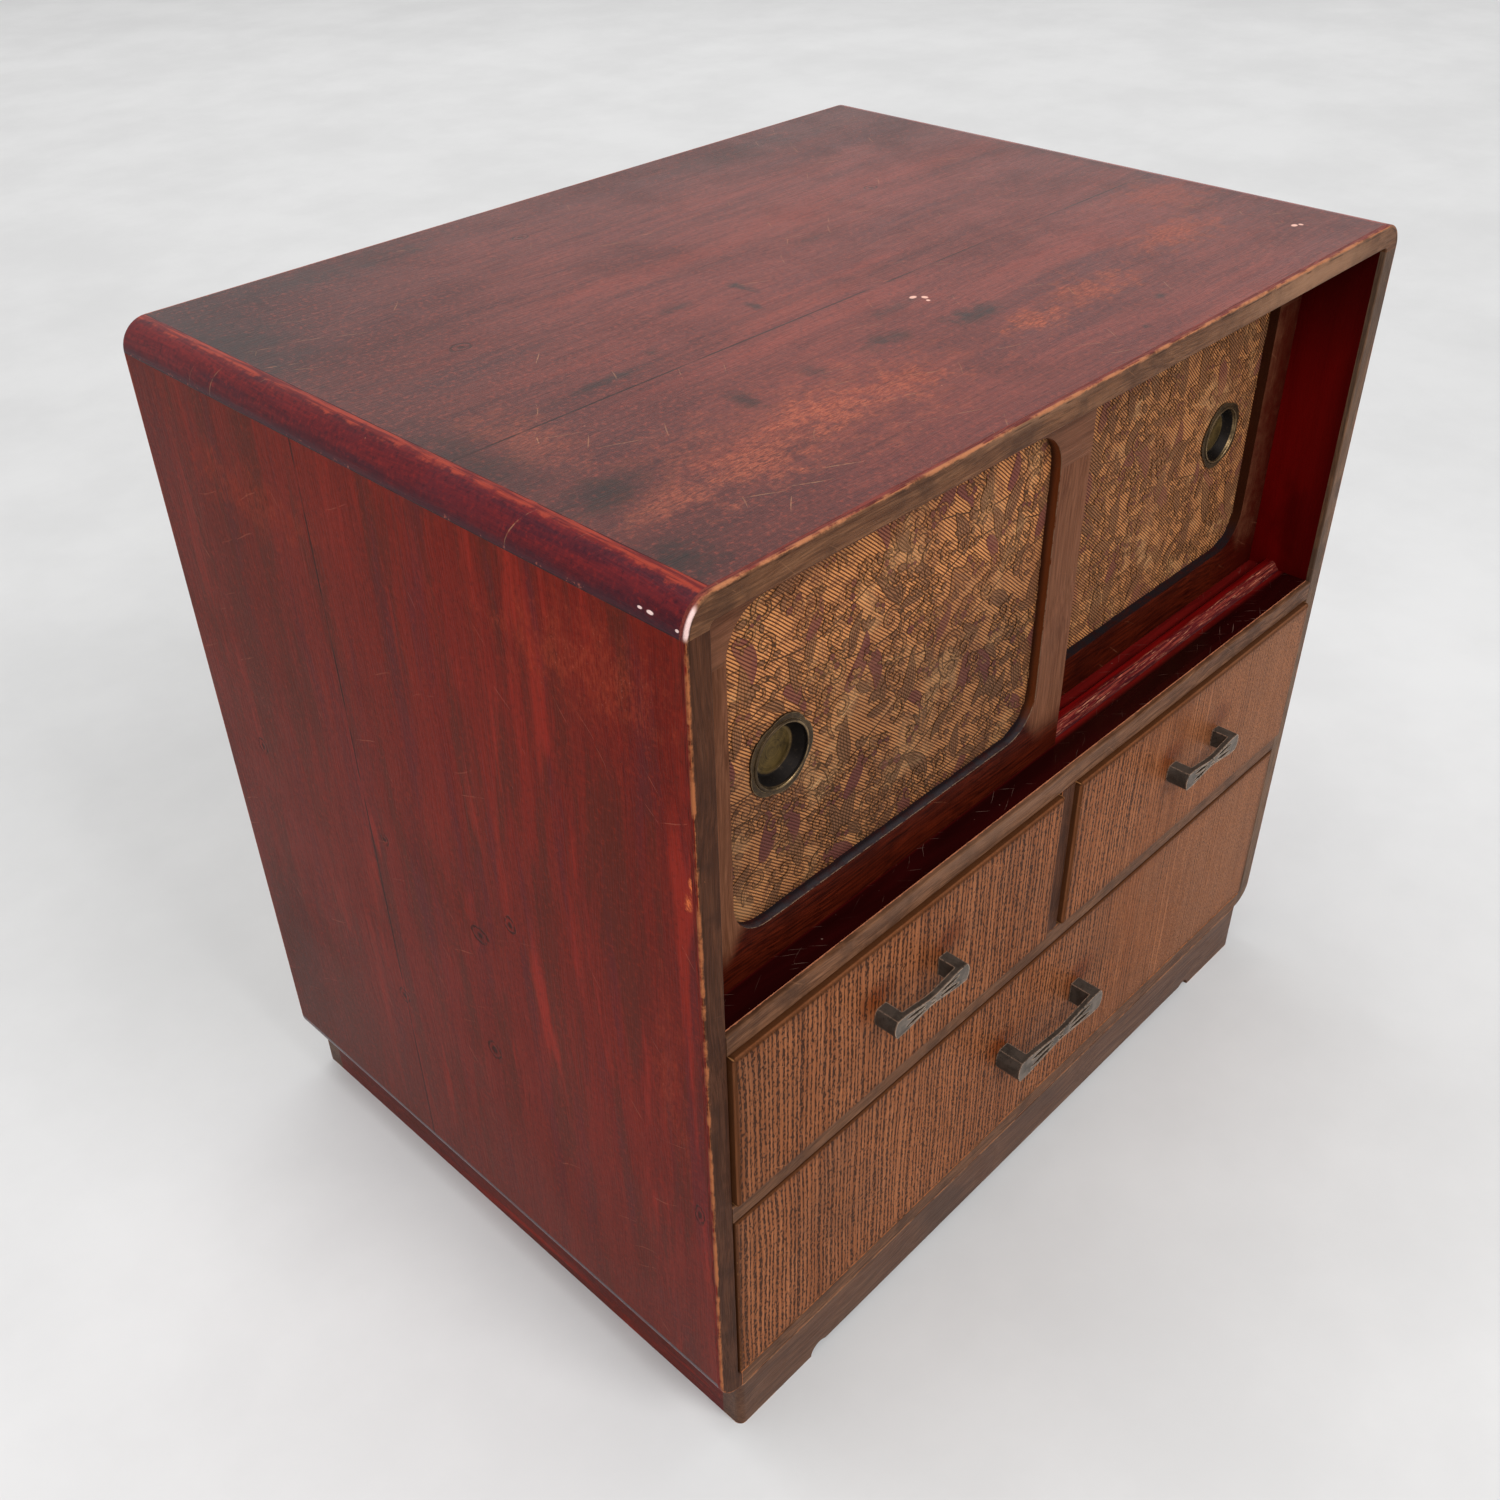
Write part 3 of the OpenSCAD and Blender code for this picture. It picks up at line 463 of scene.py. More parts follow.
def makeLacquer(name, look):
    material, shader, mm = startMaterial(name)
    base, grain, fibre, figure, streak = grownWood(mm, look, 26.0)
    cloud = blotch(mm, Size=look["cloudSize"], Low=0.42, High=0.72, Seed=look["seed"] + 3.0)
    base = blend(cloud * look["clouds"], base, look["smoky"])
    base = agedTone(mm, look, base, grain, cloud)
    base, worn, knotted = patchLayers(mm, look, base, grain, fibre)
    base, light = scratchLayers(mm, look, base)
    base, pits = damageLayers(mm, look, base)
    rough = look["rough"] - fibre * 0.05 + cloud * 0.08 + worn * 0.16
    height = fibre * 0.5 - light * 0.7 - highest(pits, knotted) * 0.8
    if look.get("inside"):
        base, rough = insideLayers(mm, look["inside"], base, rough, figure, streak, cloud)
    if look.get("bare"):
        base = cornerLayers(mm, look, base)
    shine = {"IOR": 1.5, "Specular_IOR_Level": look["shine"], "Specular_Tint": look["shineTint"]}
    endMaterial(shader, base, rough, height, 0.09, **shine)
    return material


def pastGlueLines(x, z):  # how far a place is into the corner block, across its two joints
    return abs(x) - (caseHalf[0] - cornerRadius), abs(z - caseCentre[2]) - (caseHalf[2] - cornerRadius)


def cornerLayers(mm, look, base):  # worn red along the glue lines of the block, black-purple on its round
    x, y, z = split(mm)
    fromTop, fromSide = pastGlueLines(x, z)
    ragged = noise(mm, 9.0, 5.0, 0.7)
    lines = noise(join(x / 1.5, y / 26.0, z / 1.5), 1.0, 4.0, 0.6)
    rub = remap(fromTop - ragged * 13.0, -1.4, -3.8)
    base = blend(rub * 0.8, base, blend(remap(lines, 0.4, 0.6), (0.12, 0.011, 0.01), (0.33, 0.042, 0.02)))
    base = blend(remap(fromSide - ragged * 6.0, 4.0, -2.5) * 0.8, base, (0.04, 0.008, 0.014))
    flecks = remap(noise(mm, 3.0, 4.0, 0.7), 0.6, 0.68) * remap(fromSide, 2.4, 0.8)
    base = blend(flecks * 0.8, base, (0.42, 0.11, 0.07))
    seam = remap(calc("MINIMUM", fromSide, fromTop), 0.7, 0.2) * remap(noise(mm, 14.0, 4.0, 0.6), 0.3, 0.5)
    base = blend(seam * 0.8, base, (0.012, 0.004, 0.004))
    return chipLayers(mm, base, look["bare"], (0.85, 0.62, 0.58))  # down to the pale ground coat


topLook = {
    "grain": "X", "face": "Z", "grainAngle": 0.0, "seed": 2.0, "fibreWidth": 0.8, "figureWidth": 21.0,
    "deep": (0.088, 0.0185, 0.0165), "body": (0.166, 0.034, 0.028), "bright": (0.27, 0.056, 0.036),
    "dark": (0.045, 0.012, 0.012), "smoky": (0.062, 0.026, 0.025), "rubbed": (0.44, 0.115, 0.06),
    "stain": (0.012, 0.014, 0.013), "knot": (0.03, 0.012, 0.01), "fleck": (0.62, 0.28, 0.16),
    "scratch": (0.42, 0.2, 0.1), "edge": (0.34, 0.085, 0.04), "streaks": 0.5, "fibres": 0.42,
    "clouds": 0.5, "cloudSize": 70.0, "mottleSize": 2.3, "mottles": 0.6, "bandWidth": 26.0,
    "bands": [((0.08, 0.025, 0.026), 5.0, 0.5, 0.7, 0.55), ((0.23, 0.04, 0.026), 6.0, 0.5, 0.7, 0.5)],
    "drifts": [("X", -90.0, -250.0, 0.62), ("Y", 50.0, 190.0, 0.45), ("X", 110.0, 250.0, 0.36)],
    "aged": (0.045, 0.019, 0.018), "scratched": 0.07, "edgeWidth": 1.2, "edges": 0.75, "rough": 0.36,
    "shine": 0.17, "shineTint": (1.0, 0.95, 0.95), "inside": None,
    "worn": onTop(
        (-160, -118, 44, 26, 0.6), (-203, -117, 28, 15, 0.5), (-113, -110, 40, 24, 0.7),
        (-75, -114, 38, 20, 0.55), (-120, -108, 120, 46, 0.3), (18, -114, 24, 14, 0.75),
        (68, -112, 42, 20, 0.5), (157, -100, 45, 22, 0.5), (205, -60, 32, 34, 0.3),
        (-205, -40, 24, 45, 0.3)
    ),
    "stains": onTop(
        (-36, 9, 5, 11, 0.95), (-49, -11, 4, 9, 0.85), (-73, 13, 15, 5, 0.6), (-116, -16, 6, 5, 0.85),
        (-150, -24, 36, 5, 0.7), (-125, -79, 8, 17, 0.85), (-86, -80, 8, 11, 0.65),
        (-42, -80, 22, 9, 0.8), (8, -90, 28, 11, 0.95), (-14, -60, 24, 5, 0.5), (79, -139, 5, 4, 0.8),
        (44, -154, 4, 3, 0.7), (40, 30, 22, 6, 0.4), (-215, -98, 30, 20, 0.85),
        (-238, -150, 34, 22, 0.85), (-232, -40, 22, 60, 0.6), (-232, 120, 44, 70, 0.75),
        (-150, 172, 90, 18, 0.6), (120, 162, 90, 20, 0.5), (238, 20, 14, 110, 0.45)
    ),
    "chips": onTop(
        (5.5, -57.5, 2.2, 1.6), (9.0, -61.5, 1.6, 2.0), (7.0, -65.0, 1.2, 1.2), (206.3, -136.7, 2.4, 1.8),
        (209.5, -138.5, 1.4, 1.6)
    ),
    "chip": (0.75, 0.42, 0.33), "knots": onTop((-166, 49, 7, 5), (-58, 141, 6, 4), (118, 62, 5, 4)),
    "seams": [("Y", -36.25, 0.36, 0.52)],
}
sideLook = {
    "grain": "Z", "face": "X", "grainAngle": 1.571, "seed": 7.0, "fibreWidth": 0.8, "figureWidth": 30.0,
    "deep": (0.135, 0.0075, 0.0035), "body": (0.19, 0.0105, 0.0045), "bright": (0.27, 0.022, 0.008),
    "dark": (0.06, 0.007, 0.004), "smoky": (0.12, 0.018, 0.012), "rubbed": (0.36, 0.05, 0.02),
    "stain": (0.025, 0.01, 0.008), "knot": (0.02, 0.006, 0.004), "fleck": (0.5, 0.2, 0.13),
    "scratch": (0.36, 0.09, 0.05), "edge": (0.36, 0.075, 0.03), "streaks": 0.34, "fibres": 0.32,
    "clouds": 0.45, "cloudSize": 80.0, "mottleSize": 2.6, "mottles": 0.42, "bandWidth": 15.0,
    "bands": [
        ((0.085, 0.014, 0.007), 5.0, 0.46, 0.62, 0.7), ((0.1, 0.012, 0.014), 8.0, 0.52, 0.66, 0.65),
        ((0.33, 0.02, 0.009), 6.0, 0.54, 0.68, 0.6),
    ],
    "drifts": [("Y", -60.0, 190.0, 0.45), ("Z", 190.0, 40.0, 0.45)], "aged": (0.085, 0.019, 0.012),
    "scratched": 0.05, "edgeWidth": 1.0, "edges": 0.7, "rough": 0.36, "shine": 0.04,
    "shineTint": (1.0, 0.6, 0.5), "inside": 238.5,
    "scuffs": onSide(leftFace, (-167.2, 358, 2.6, 6), (-169.0, 366, 1.4, 5)), "scuff": (0.8, 0.19, 0.055),
    "worn": onSide(
        leftFace, (-120, 440, 60, 26, 0.5), (100, 430, 60, 20, 0.35), (-150, 250, 12, 60, 0.35)
    ),
    "stains": onSide(leftFace, (55, 232, 3, 60, 0.3), (165, 120, 40, 90, 0.35)),
    "knots": onSide(
        leftFace, (147.5, 271.6, 5, 6), (43.4, 268.6, 4, 4.5), (-25.4, 251.2, 8, 6), (-50.7, 273.4, 5, 6),
        (55.6, 156.7, 5.5, 6), (-163.6, 173.7, 4, 8), (-21.9, 172.6, 6, 7)
    ),
    "seams": [("Y", 54.75, 0.34, 0.5)],
}
rightLook = dict(
    sideLook, seed=31.0, scuffs=[],
    worn=onSide(rightFace, (-130, 435, 50, 25, 0.5), (60, 440, 60, 20, 0.3)),
    stains=onSide(rightFace, (150, 130, 40, 90, 0.35)),
    knots=onSide(rightFace, (90, 330, 5, 7), (-60, 210, 6, 6), (20, 120, 4.5, 6), (-120, 320, 4, 5))
)
cornerLook = dict(
    topLook, grain="Y", face="Z", grainAngle=1.571, seed=13.0, deep=(0.058, 0.0055, 0.008),
    body=(0.118, 0.0085, 0.011), bright=(0.2, 0.015, 0.0125), dark=(0.018, 0.004, 0.008),
    smoky=(0.05, 0.012, 0.02), clouds=0.5, worn=[], stains=[], knots=[], seams=[],
    bands=[((0.04, 0.008, 0.014), 5.0, 0.5, 0.66, 0.7)], bandWidth=8.0, drifts=[], rough=0.26, shine=0.13,
    shineTint=(1.0, 0.75, 0.85), chips=[],
    bare=[
        ((-249.8, -150.6, 475.3), (4, 1.4, 0.6)), ((-249.8, -155.4, 475.3), (4, 1.9, 0.75)),
        ((-249.8, -168.2, 473.8), (4, 1.1, 0.7)),
    ],
    edges=0.0, edge=(0.38, 0.06, 0.03), scratched=0.06, streaks=0.5
)
plinthSideLook = dict(
    sideLook, scuffs=[], grain="Y", face="X", grainAngle=0.0, seed=17.0, worn=[], stains=[], knots=[],
    seams=[], drifts=[], inside=None, deep=(0.075, 0.016, 0.014), body=(0.11, 0.024, 0.02), clouds=0.6,
    edges=0.0
)


def woodTone(mm, look):
    base, grain, fibre, figure, streak = grownWood(mm, look, look["fibreLength"])
    cloud = blotch(mm, Size=look["cloudSize"], Low=0.45, High=0.68, Seed=look["seed"])
    return blend(cloud * look["clouds"], base, look["smoky"]), grain, fibre


def lowerLayer(mm, look, base, rough):  # darker, glossier wood below a height, with a soft change
    lower = look["lower"]
    x, y, z = split(mm)
    fromMiddle = abs(abs(x) - fieldMiddle)
    height = z + noise(mm, 9.0, 4.0, 0.6) * 9.0 - remap(fromMiddle, 108.0, 84.0) * 24.0
    lowered = remap(height, look["changeHigh"], look["changeLow"])
    return blend(lowered, base, woodTone(mm, lower)[0]), blendValue(lowered, rough, lower["rough"])


def poreLayers(mm, look, base, grain):  # open pores in rows on the faces, finer towards the right
    def rowsOfPores(vector, spacing, size):
        sizes = {"DashLength": look["dashLength"] * size, "DashWidth": look["dashWidth"] * size}
        return openPores(vector, RowSpacing=look["rowSpacing"] * spacing, Amount=look["pores"], **sizes)

    pores, rows = rowsOfPores(grain, 1.0, 1.0)
    finePores, fineRows = rowsOfPores(grain + (71.0, 0.0, 33.0), 0.55, 0.8)
    fineZone = remap(along(mm, "X") + noise(mm, 70.0, 2.0) * 120.0, 90.0, 190.0)
    facing = abs(along(surfaceNormal(mm), "Y"))
    flat = remap(facing, 0.72, 0.95)
    pores = blendValue(fineZone, pores, finePores * 0.8) * flat
    rows = blendValue(fineZone, rows, fineRows * 0.6) * flat
    base = blend(rows * 0.46, base, look["dark"])
    base = blend(pores * 0.85, base, look["pore"])
    return blend((1.0 - remap(facing, 0.1, 0.5)) * 0.85, base, look["grime"]), pores


def dirtLayers(mm, look, base):  # old dust at the edges of a front: centre and half size of its box
    for centre, half in look["dirt"]:
        wear, near = edgeWear(mm, Centre=centre, Half=half, Width=0.9, Patch=16.0, Amount=0.9)
        beyond = calc("MAXIMUM", abs(mm - centre) - half, (0.0, 0.0, 0.0))
        inside = remap(calc("LENGTH", beyond), 1.0, 0.5)
        rim = remap(near, 2.4, 0.9) * 0.7 + remap(near, 8.0, 1.0) * 0.3
        base = blend(rim * inside * 0.85, base, look["grime"])
        base = blend(wear * inside * look["rub"], base, look["edge"])
    return base


def skinLayers(mm, look, base, fibre):  # case lacquer on the outer faces, with a dark line where it ends and a painted highlight at the upper left corner
    x, y, z = split(mm)
    beyondX, beyondZ = pastGlueLines(x, z)
    fromArc = calc("LENGTH", join(highest(beyondX, 0.0), 0.0, highest(beyondZ, 0.0)))
    outer = cornerRadius - (fromArc + calc("MINIMUM", highest(beyondX, beyondZ), 0.0))
    line = remap(abs(outer - 1.7), 0.5, 0.15) * remap(noise(mm, 12.0, 4.0, 0.6), 0.46, 0.6)
    base = blend(line * 0.7, base, (0.03, 0.012, 0.005))
    base = blend(remap(outer, 0.35, 0.1), base, blend(fibre, *look["skin"]))
    pale = remap(x, -243.0, -246.0) * remap(z, 470.0, 473.0)  # painted highlight along the arris of the upper left corner
    arris = remap(y, caseFront + 1.65, caseFront + 0.65)
    arris = arris * remap(outer - noise(mm, 5.0, 4.0, 0.7) * 2.2, 0.4, -0.5)
    arris = arris * highest(remap(noise(mm, 17.0, 5.0, 0.7), 0.42, 0.58), pale)
    return blend(arris * 0.9, base, blend(pale, look["edge"], (0.85, 0.6, 0.56)))


def sheenShadeAndDustLayers(mm, look, base):  # the inner edges of a door frame, from the arris to the cloth, with painted shade, dust with a painted sheen and a painted highlight
    nx, ny, nz = split(surfaceNormal(mm))
    depth = remap(along(mm, "Y"), doorFront, clothPlane, smooth=False)
    upright = remap(abs(nx), 0.35, 0.8)
    level = remap(nz, 0.3, 0.85)
    # painted shade: upright faces go from their bare colour at the arris to dark near the cloth
    base = blend(upright * 0.9, base, blend(remap(depth, 0.35, 0.95), look["bare"], look["dark"]))
    # faces that look up get dust with a painted sheen, and painted shade near the cloth
    lying = level * (remap(noise(mm, 7.0, 5.0, 0.7), 0.3, 0.6) * 0.6 + 0.4)
    base = blend(lying * 0.95, base, blend(remap(depth, 0.25, 0.85), look["dust"], (0.012, 0.01, 0.012)))
    inner = highest(upright, level)
    # painted highlight along the arris
    arris = remap(depth, 0.12, 0.03) * inner * remap(noise(mm, 5.0, 4.0, 0.7), 0.36, 0.56)
    return blend(arris * 0.75, base, look["arris"]), inner


def makeWood(name, look):
    material, shader, mm = startMaterial(name)
    base, grain, fibre = woodTone(mm, look)
    height = fibre * 0.6
    rough = look["rough"] - fibre * 0.1
    if look.get("lower"):
        base, rough = lowerLayer(mm, look, base, rough)
    for centre, radius, strength in look.get("hands", ()):  # darker where hands have been; painted shade on the right door's outer stile and rail, and painted shadow with hand grease round the drawer handles
        touched = stain(mm, Centre=centre, Radius=radius, Ragged=0.25, Soft=0.95)[0]
        base = blend(touched * strength, base, look["handTone"])
    if look.get("pale"):  # the fronts turn paler and greyer towards one end
        towards = remap(along(mm, "X") + noise(mm, 60.0, 3.0) * 80.0, look["paleFrom"], look["paleTo"])
        base = blend(towards * 0.36, base, look["pale"])
    if look.get("pores"):
        base, pores = poreLayers(mm, look, base, grain)
        height = height - pores
    if look.get("dirt"):
        base = dirtLayers(mm, look, base)
    if look.get("edges"):
        centre, half = look["edgeBox"]
        edges = {"Width": look["edgeWidth"], "Patch": 20.0, "Amount": look["edges"]}
        wear = edgeWear(mm, Centre=centre, Half=half, **edges)[0]
        base = blend(wear * 0.9, base, look["edge"])
    if look.get("skin"):
        base = skinLayers(mm, look, base, fibre)
    fine = {"Angle": 0.6, "Spacing": 13.0, "Length": 15.0, "Width": 0.3, "Amount": 0.12}
    light = scratches(facePlane(mm, look["face"]), Seed=look["seed"], **fine)
    base = blend(light * 0.4, base, look["bright"])
    # dust with a painted sheen, painted shade and a painted arris highlight on a frame's inner edges
    if look.get("dust"):
        base, inner = sheenShadeAndDustLayers(mm, look, base)
        rough = rough + inner * 0.1
    shine = {"IOR": 1.48, "Specular_IOR_Level": look["shine"], "Specular_Tint": look["shineTint"]}
    endMaterial(shader, base, rough, height, look["depth"], **shine)
    return material


lippingLook = {
    "grain": "X", "face": "Y", "seed": 41.0, "fibreWidth": 0.7, "fibreLength": 16.0, "figureWidth": 9.0,
    "deep": (0.08, 0.03, 0.014), "body": (0.15, 0.062, 0.028), "bright": (0.27, 0.125, 0.06),
    "dark": (0.026, 0.012, 0.007), "smoky": (0.045, 0.02, 0.011), "streaks": 0.55, "fibres": 0.6,
    "clouds": 0.65, "cloudSize": 20.0, "edges": 0.75, "edgeWidth": 0.85, "edge": (0.36, 0.12, 0.045),
    "rough": 0.5, "shine": 0.08, "shineTint": (1.0, 0.85, 0.75), "depth": 0.12,
}
frameLook = {
    "grain": "Z", "face": "Y", "seed": 53.0, "fibreWidth": 0.6, "fibreLength": 34.0, "figureWidth": 8.0,
    "deep": (0.1, 0.034, 0.015), "body": (0.155, 0.06, 0.028), "bright": (0.24, 0.095, 0.05),
    "dark": (0.03, 0.008, 0.003), "smoky": (0.085, 0.034, 0.018), "streaks": 0.6, "fibres": 0.45,
    # the dust colour is dust with a painted sheen, and the arris colour is a painted highlight
    "clouds": 0.45, "cloudSize": 40.0, "dust": (0.045, 0.04, 0.045), "bare": (0.12, 0.028, 0.007),
    "arris": (0.3, 0.2, 0.13), "rough": 0.5, "shine": 0.08, "shineTint": (1.0, 0.85, 0.75), "depth": 0.05,
}
plinthLook = dict(
    frameLook, grain="X", seed=61.0, dust=None, deep=(0.058, 0.023, 0.012), body=(0.1, 0.041, 0.021),
    bright=(0.17, 0.08, 0.042), smoky=(0.042, 0.02, 0.013), clouds=0.55, rough=0.45, shine=0.12,
    fibreWidth=0.8, figureWidth=11.0, depth=0.08, edges=0.6,
    edgeBox=((0.0, 7.75, 17.25), (238.5, 180.0, 17.25)), edgeWidth=1.2, edge=(0.3, 0.14, 0.07)
)
oakLook = {
    "grain": "Z", "face": "Y", "seed": 71.0, "fibreWidth": 0.55, "fibreLength": 22.0, "figureWidth": 26.0,
    "deep": (0.245, 0.076, 0.025), "body": (0.34, 0.112, 0.039), "bright": (0.49, 0.19, 0.08),
    "dark": (0.085, 0.025, 0.009), "smoky": (0.2, 0.08, 0.038), "pore": (0.022, 0.008, 0.004),
    "streaks": 0.45, "fibres": 0.5, "clouds": 0.45, "cloudSize": 50.0, "pores": 0.72, "rowSpacing": 3.0,
    "dashLength": 2.1, "dashWidth": 1.0, "rough": 0.5, "shine": 0.05, "shineTint": (1.0, 0.85, 0.75),
    "depth": 0.16, "grime": (0.05, 0.017, 0.006), "edge": (0.42, 0.19, 0.07), "rub": 0.7,
    "handTone": (0.16, 0.032, 0.006),
    # hand grease with painted shadow round the handle posts
    "hands": [
        ((-148, -175, 238), (18, 12, 15), 0.9), ((-96, -175, 238), (18, 12, 15), 0.9),
        ((96, -175, 238), (18, 12, 15), 0.9), ((148, -175, 238), (18, 12, 15), 0.9),
        ((-38, -175, 119), (20, 12, 16), 0.9), ((38, -175, 119), (20, 12, 16), 0.9),
    ],
    "pale": (0.36, 0.165, 0.085), "paleFrom": 90.0, "paleTo": 270.0,
    "dirt": [
        ((-122.125, -168.0, 222.75), (115.2, 8.0, 46.6)), ((122.125, -168.0, 222.75), (115.2, 8.0, 46.6)),
        ((0.0, -166.0, 104.75), (237.5, 7.0, 58.2)),
    ],
}
rawLook = {
    "grain": "Y", "face": "X", "seed": 83.0, "fibreWidth": 0.8, "fibreLength": 40.0, "figureWidth": 15.0,
    "deep": (0.3, 0.19, 0.1), "body": (0.42, 0.28, 0.155), "bright": (0.5, 0.35, 0.2),
    "dark": (0.2, 0.12, 0.06), "smoky": (0.2, 0.13, 0.08), "streaks": 0.5, "fibres": 0.35, "clouds": 0.35,
    "cloudSize": 80.0, "rough": 0.66, "shine": 0.2, "shineTint": (1.0, 0.95, 0.9), "depth": 0.08,
}
backLook = dict(
    rawLook, grain="X", face="Y", seed=89.0, deep=(0.19, 0.105, 0.055), body=(0.3, 0.18, 0.1),
    bright=(0.4, 0.26, 0.15), dark=(0.09, 0.05, 0.026), clouds=0.4, cloudSize=60.0,
    smoky=(0.12, 0.072, 0.045), figureWidth=11.0, fibres=0.6, streaks=0.7
)


def makeLedge():  # black-red gloss in front of the doors, with dust and fibres lying on it, plain wood below
    material, shader, mm = startMaterial("ledgeLacquer")
    x, y, z = split(mm)
    grain = {"FibreWidth": 0.8, "FibreLength": 30.0, "FigureWidth": 14.0, "Seed": 91.0}
    fibre, figure, streak = woodGrain(grainAlong(mm, "X"), **grain)
    base = blend(figure, (0.01, 0.0008, 0.0008), (0.022, 0.0014, 0.0014))
    behind = remap(y, -156.5, -153.0)
    base = blend(behind * (streak * 0.5 + 0.5), base, (0.14, 0.006, 0.005))
    fine = specks(mm, Cell=3.4, Size=0.34, Amount=0.45)
    coarse = specks(mm, Cell=9.0, Size=0.6, Amount=0.4)
    lint = {"Angle": 0.7, "Spacing": 5.0, "Length": 9.0, "Width": 0.22, "Amount": 0.25, "Seed": 4.0}
    longLint = {"Angle": -0.5, "Spacing": 6.0, "Length": 11.0, "Width": 0.2, "Amount": 0.2, "Seed": 8.0}
    lying = blotch(mm, Size=45.0, Low=0.42, High=0.6, Seed=2.0)
    loose = highest(fine, coarse, scratches(mm, **lint), scratches(mm, **longLint))
    dirt = loose * (lying * 0.8 + 0.2)
    base = blend(dirt * 0.45, base, (0.3, 0.18, 0.14))
    under = remap(z, ledgeLacquerFrom, ledgeLacquerFrom - 0.6)
    base = blend(under, base, blend(streak, (0.25, 0.15, 0.08), (0.36, 0.23, 0.13)))
    rough = blendValue(under, dirt * 0.4 + lying * 0.12 + 0.14, 0.62)
    endMaterial(shader, base, rough, dirt * 0.8 + fibre * 0.15, 0.06, IOR=1.5, Specular_IOR_Level=0.05)
    return material


def makeTrack():  # sliding rails: red lacquer, scraped into long fine streaks where the doors run
    material, shader, mm = startMaterial("trackLacquer")
    x, y, z = split(mm)

    def streaks(width, length, seed):
        return noise(join(x / length, y / width, z / width), 1.0, 4.0, 0.65, 0.2, seed)

    base = blend(remap(streaks(1.6, 70.0, 1.0), 0.35, 0.65), (0.09, 0.0015, 0.0015), (0.16, 0.003, 0.003))
    onSlope = remap(y, railsFront + 5.6, railsFront + 4.2)  # the sloping front, scraped by feet and hands
    base = blend(onSlope * 0.7, base, (0.06, 0.006, 0.008))
    worn = onSlope * remap(streaks(1.1, 20.0, 2.0), 0.46, 0.58)
    base = blend(worn * 0.65, base, (0.3, 0.055, 0.035))
    pale = onSlope * remap(streaks(0.8, 12.0, 3.0), 0.55, 0.64)
    base = blend(pale * 0.75, base, (0.62, 0.24, 0.14))
    deep = remap(y, railsFront + 7.0, railsFront + 5.0) * remap(streaks(0.8, 34.0, 4.0), 0.46, 0.38)
    base = blend(deep * 0.9, base, (0.03, 0.006, 0.008))
    foot = remap(z, 284.0, 282.0)
    base = blend(foot * onSlope * 0.75, base, (0.025, 0.003, 0.006))
    shine = {"IOR": 1.5, "Specular_IOR_Level": 0.05, "Specular_Tint": (1.0, 0.7, 0.6)}
    endMaterial(shader, base, worn * 0.15 + 0.34, worn * -0.6 - deep, 0.12, **shine)
    return material


def cupLayers(mm, cup, base, broad, rub):  # a sunk cup: olive floor, a wall in painted shade, painted highlights where the floor meets the wall and on the rim
    x, y, z = split(mm)
    fromLeft, fromRight = [calc("LENGTH", join(x - cx, 0.0, z - cz)) for cx, cz in cup["centres"]]
    away = calc("MINIMUM", fromLeft, fromRight)
    floorEdge, rimEdge = cup["floor"], cup["rim"]
    onFloor = remap(away, floorEdge + 0.1, floorEdge - 0.3)
    onWall = remap(away, floorEdge - 0.1, floorEdge + 0.3) * remap(away, rimEdge + 0.2, rimEdge - 0.3)
    lathed = noise(join(away * 2.4, 0.0, 0.0), 1.0, 3.0, 0.7)
    floorTone = blend(remap((lathed + broad) * 0.5, 0.38, 0.62), cup["floorDark"], cup["floorTone"])
    base = blend(onFloor, base, floorTone)
    # painted shade on the wall of the cup
    base = blend(onWall * 0.93, base, cup["wall"])
    # painted highlights at the edge of the floor and along the rim
    ring = remap(abs(away - (floorEdge - 0.7)), 0.55, 0.2)
    rim = remap(abs(away - (rimEdge + 0.35)), 0.55, 0.25)
    lines = highest(ring * 0.45, rim) * remap(noise(mm, 5.0, 4.0, 0.6), 0.3, 0.62)
    return base, highest(rub * (1.0 - onWall), lines)


def makeMetal(name, look):
    material, shader, mm = startMaterial(name)
    fine = noise(mm, 0.7, 5.0, 0.7)
    broad = noise(mm, look["patch"], 4.0, 0.6, 0.5)
    base = blend(remap(broad, 0.35, 0.65), look["deep"], look["body"])
    base = blend(remap(fine, 0.45, 0.7) * 0.6, base, look["crust"])
    facing = surfaceNormal(mm)
    # painted shade mixed with dirt on faces that don't face the front
    base = blend(remap(abs(along(facing, "Y")), 0.8, 0.4) * look["sides"], base, look["dirt"])
    rounded = addNode("ShaderNodeBevel", 0, {"Radius": look["edge"] / 1000.0}, mm.tree, samples=6)
    sharp = remap(calc("DOT_PRODUCT", rounded, facing), 0.985, 0.86)
    rub = calc("MULTIPLY", sharp, remap(noise(mm, 2.2, 4.0, 0.65), 0.34, 0.56), clamp=True)
    if look.get("cup"):
        base, rub = cupLayers(mm, look["cup"], base, broad, rub)
    # bright goes on worn edges and, in a cup, on its painted highlights
    base = blend(rub * look["rub"], base, look["bright"])
    dirt = remap(noise(mm, 1.6, 5.0, 0.7), 0.56, 0.68)
    base = blend(dirt * 0.5, base, look["dirt"])
    plug(calc("MULTIPLY_ADD", rub, 0.3, look["metal"], clamp=True), shader.inputs["Metallic"])
    rough = fine * 0.2 - rub * 0.16 + look["rough"]
    endMaterial(shader, base, rough, fine * 0.7 + dirt * 0.5, look["depth"], IOR=1.5, Specular_IOR_Level=0.1)
    return material


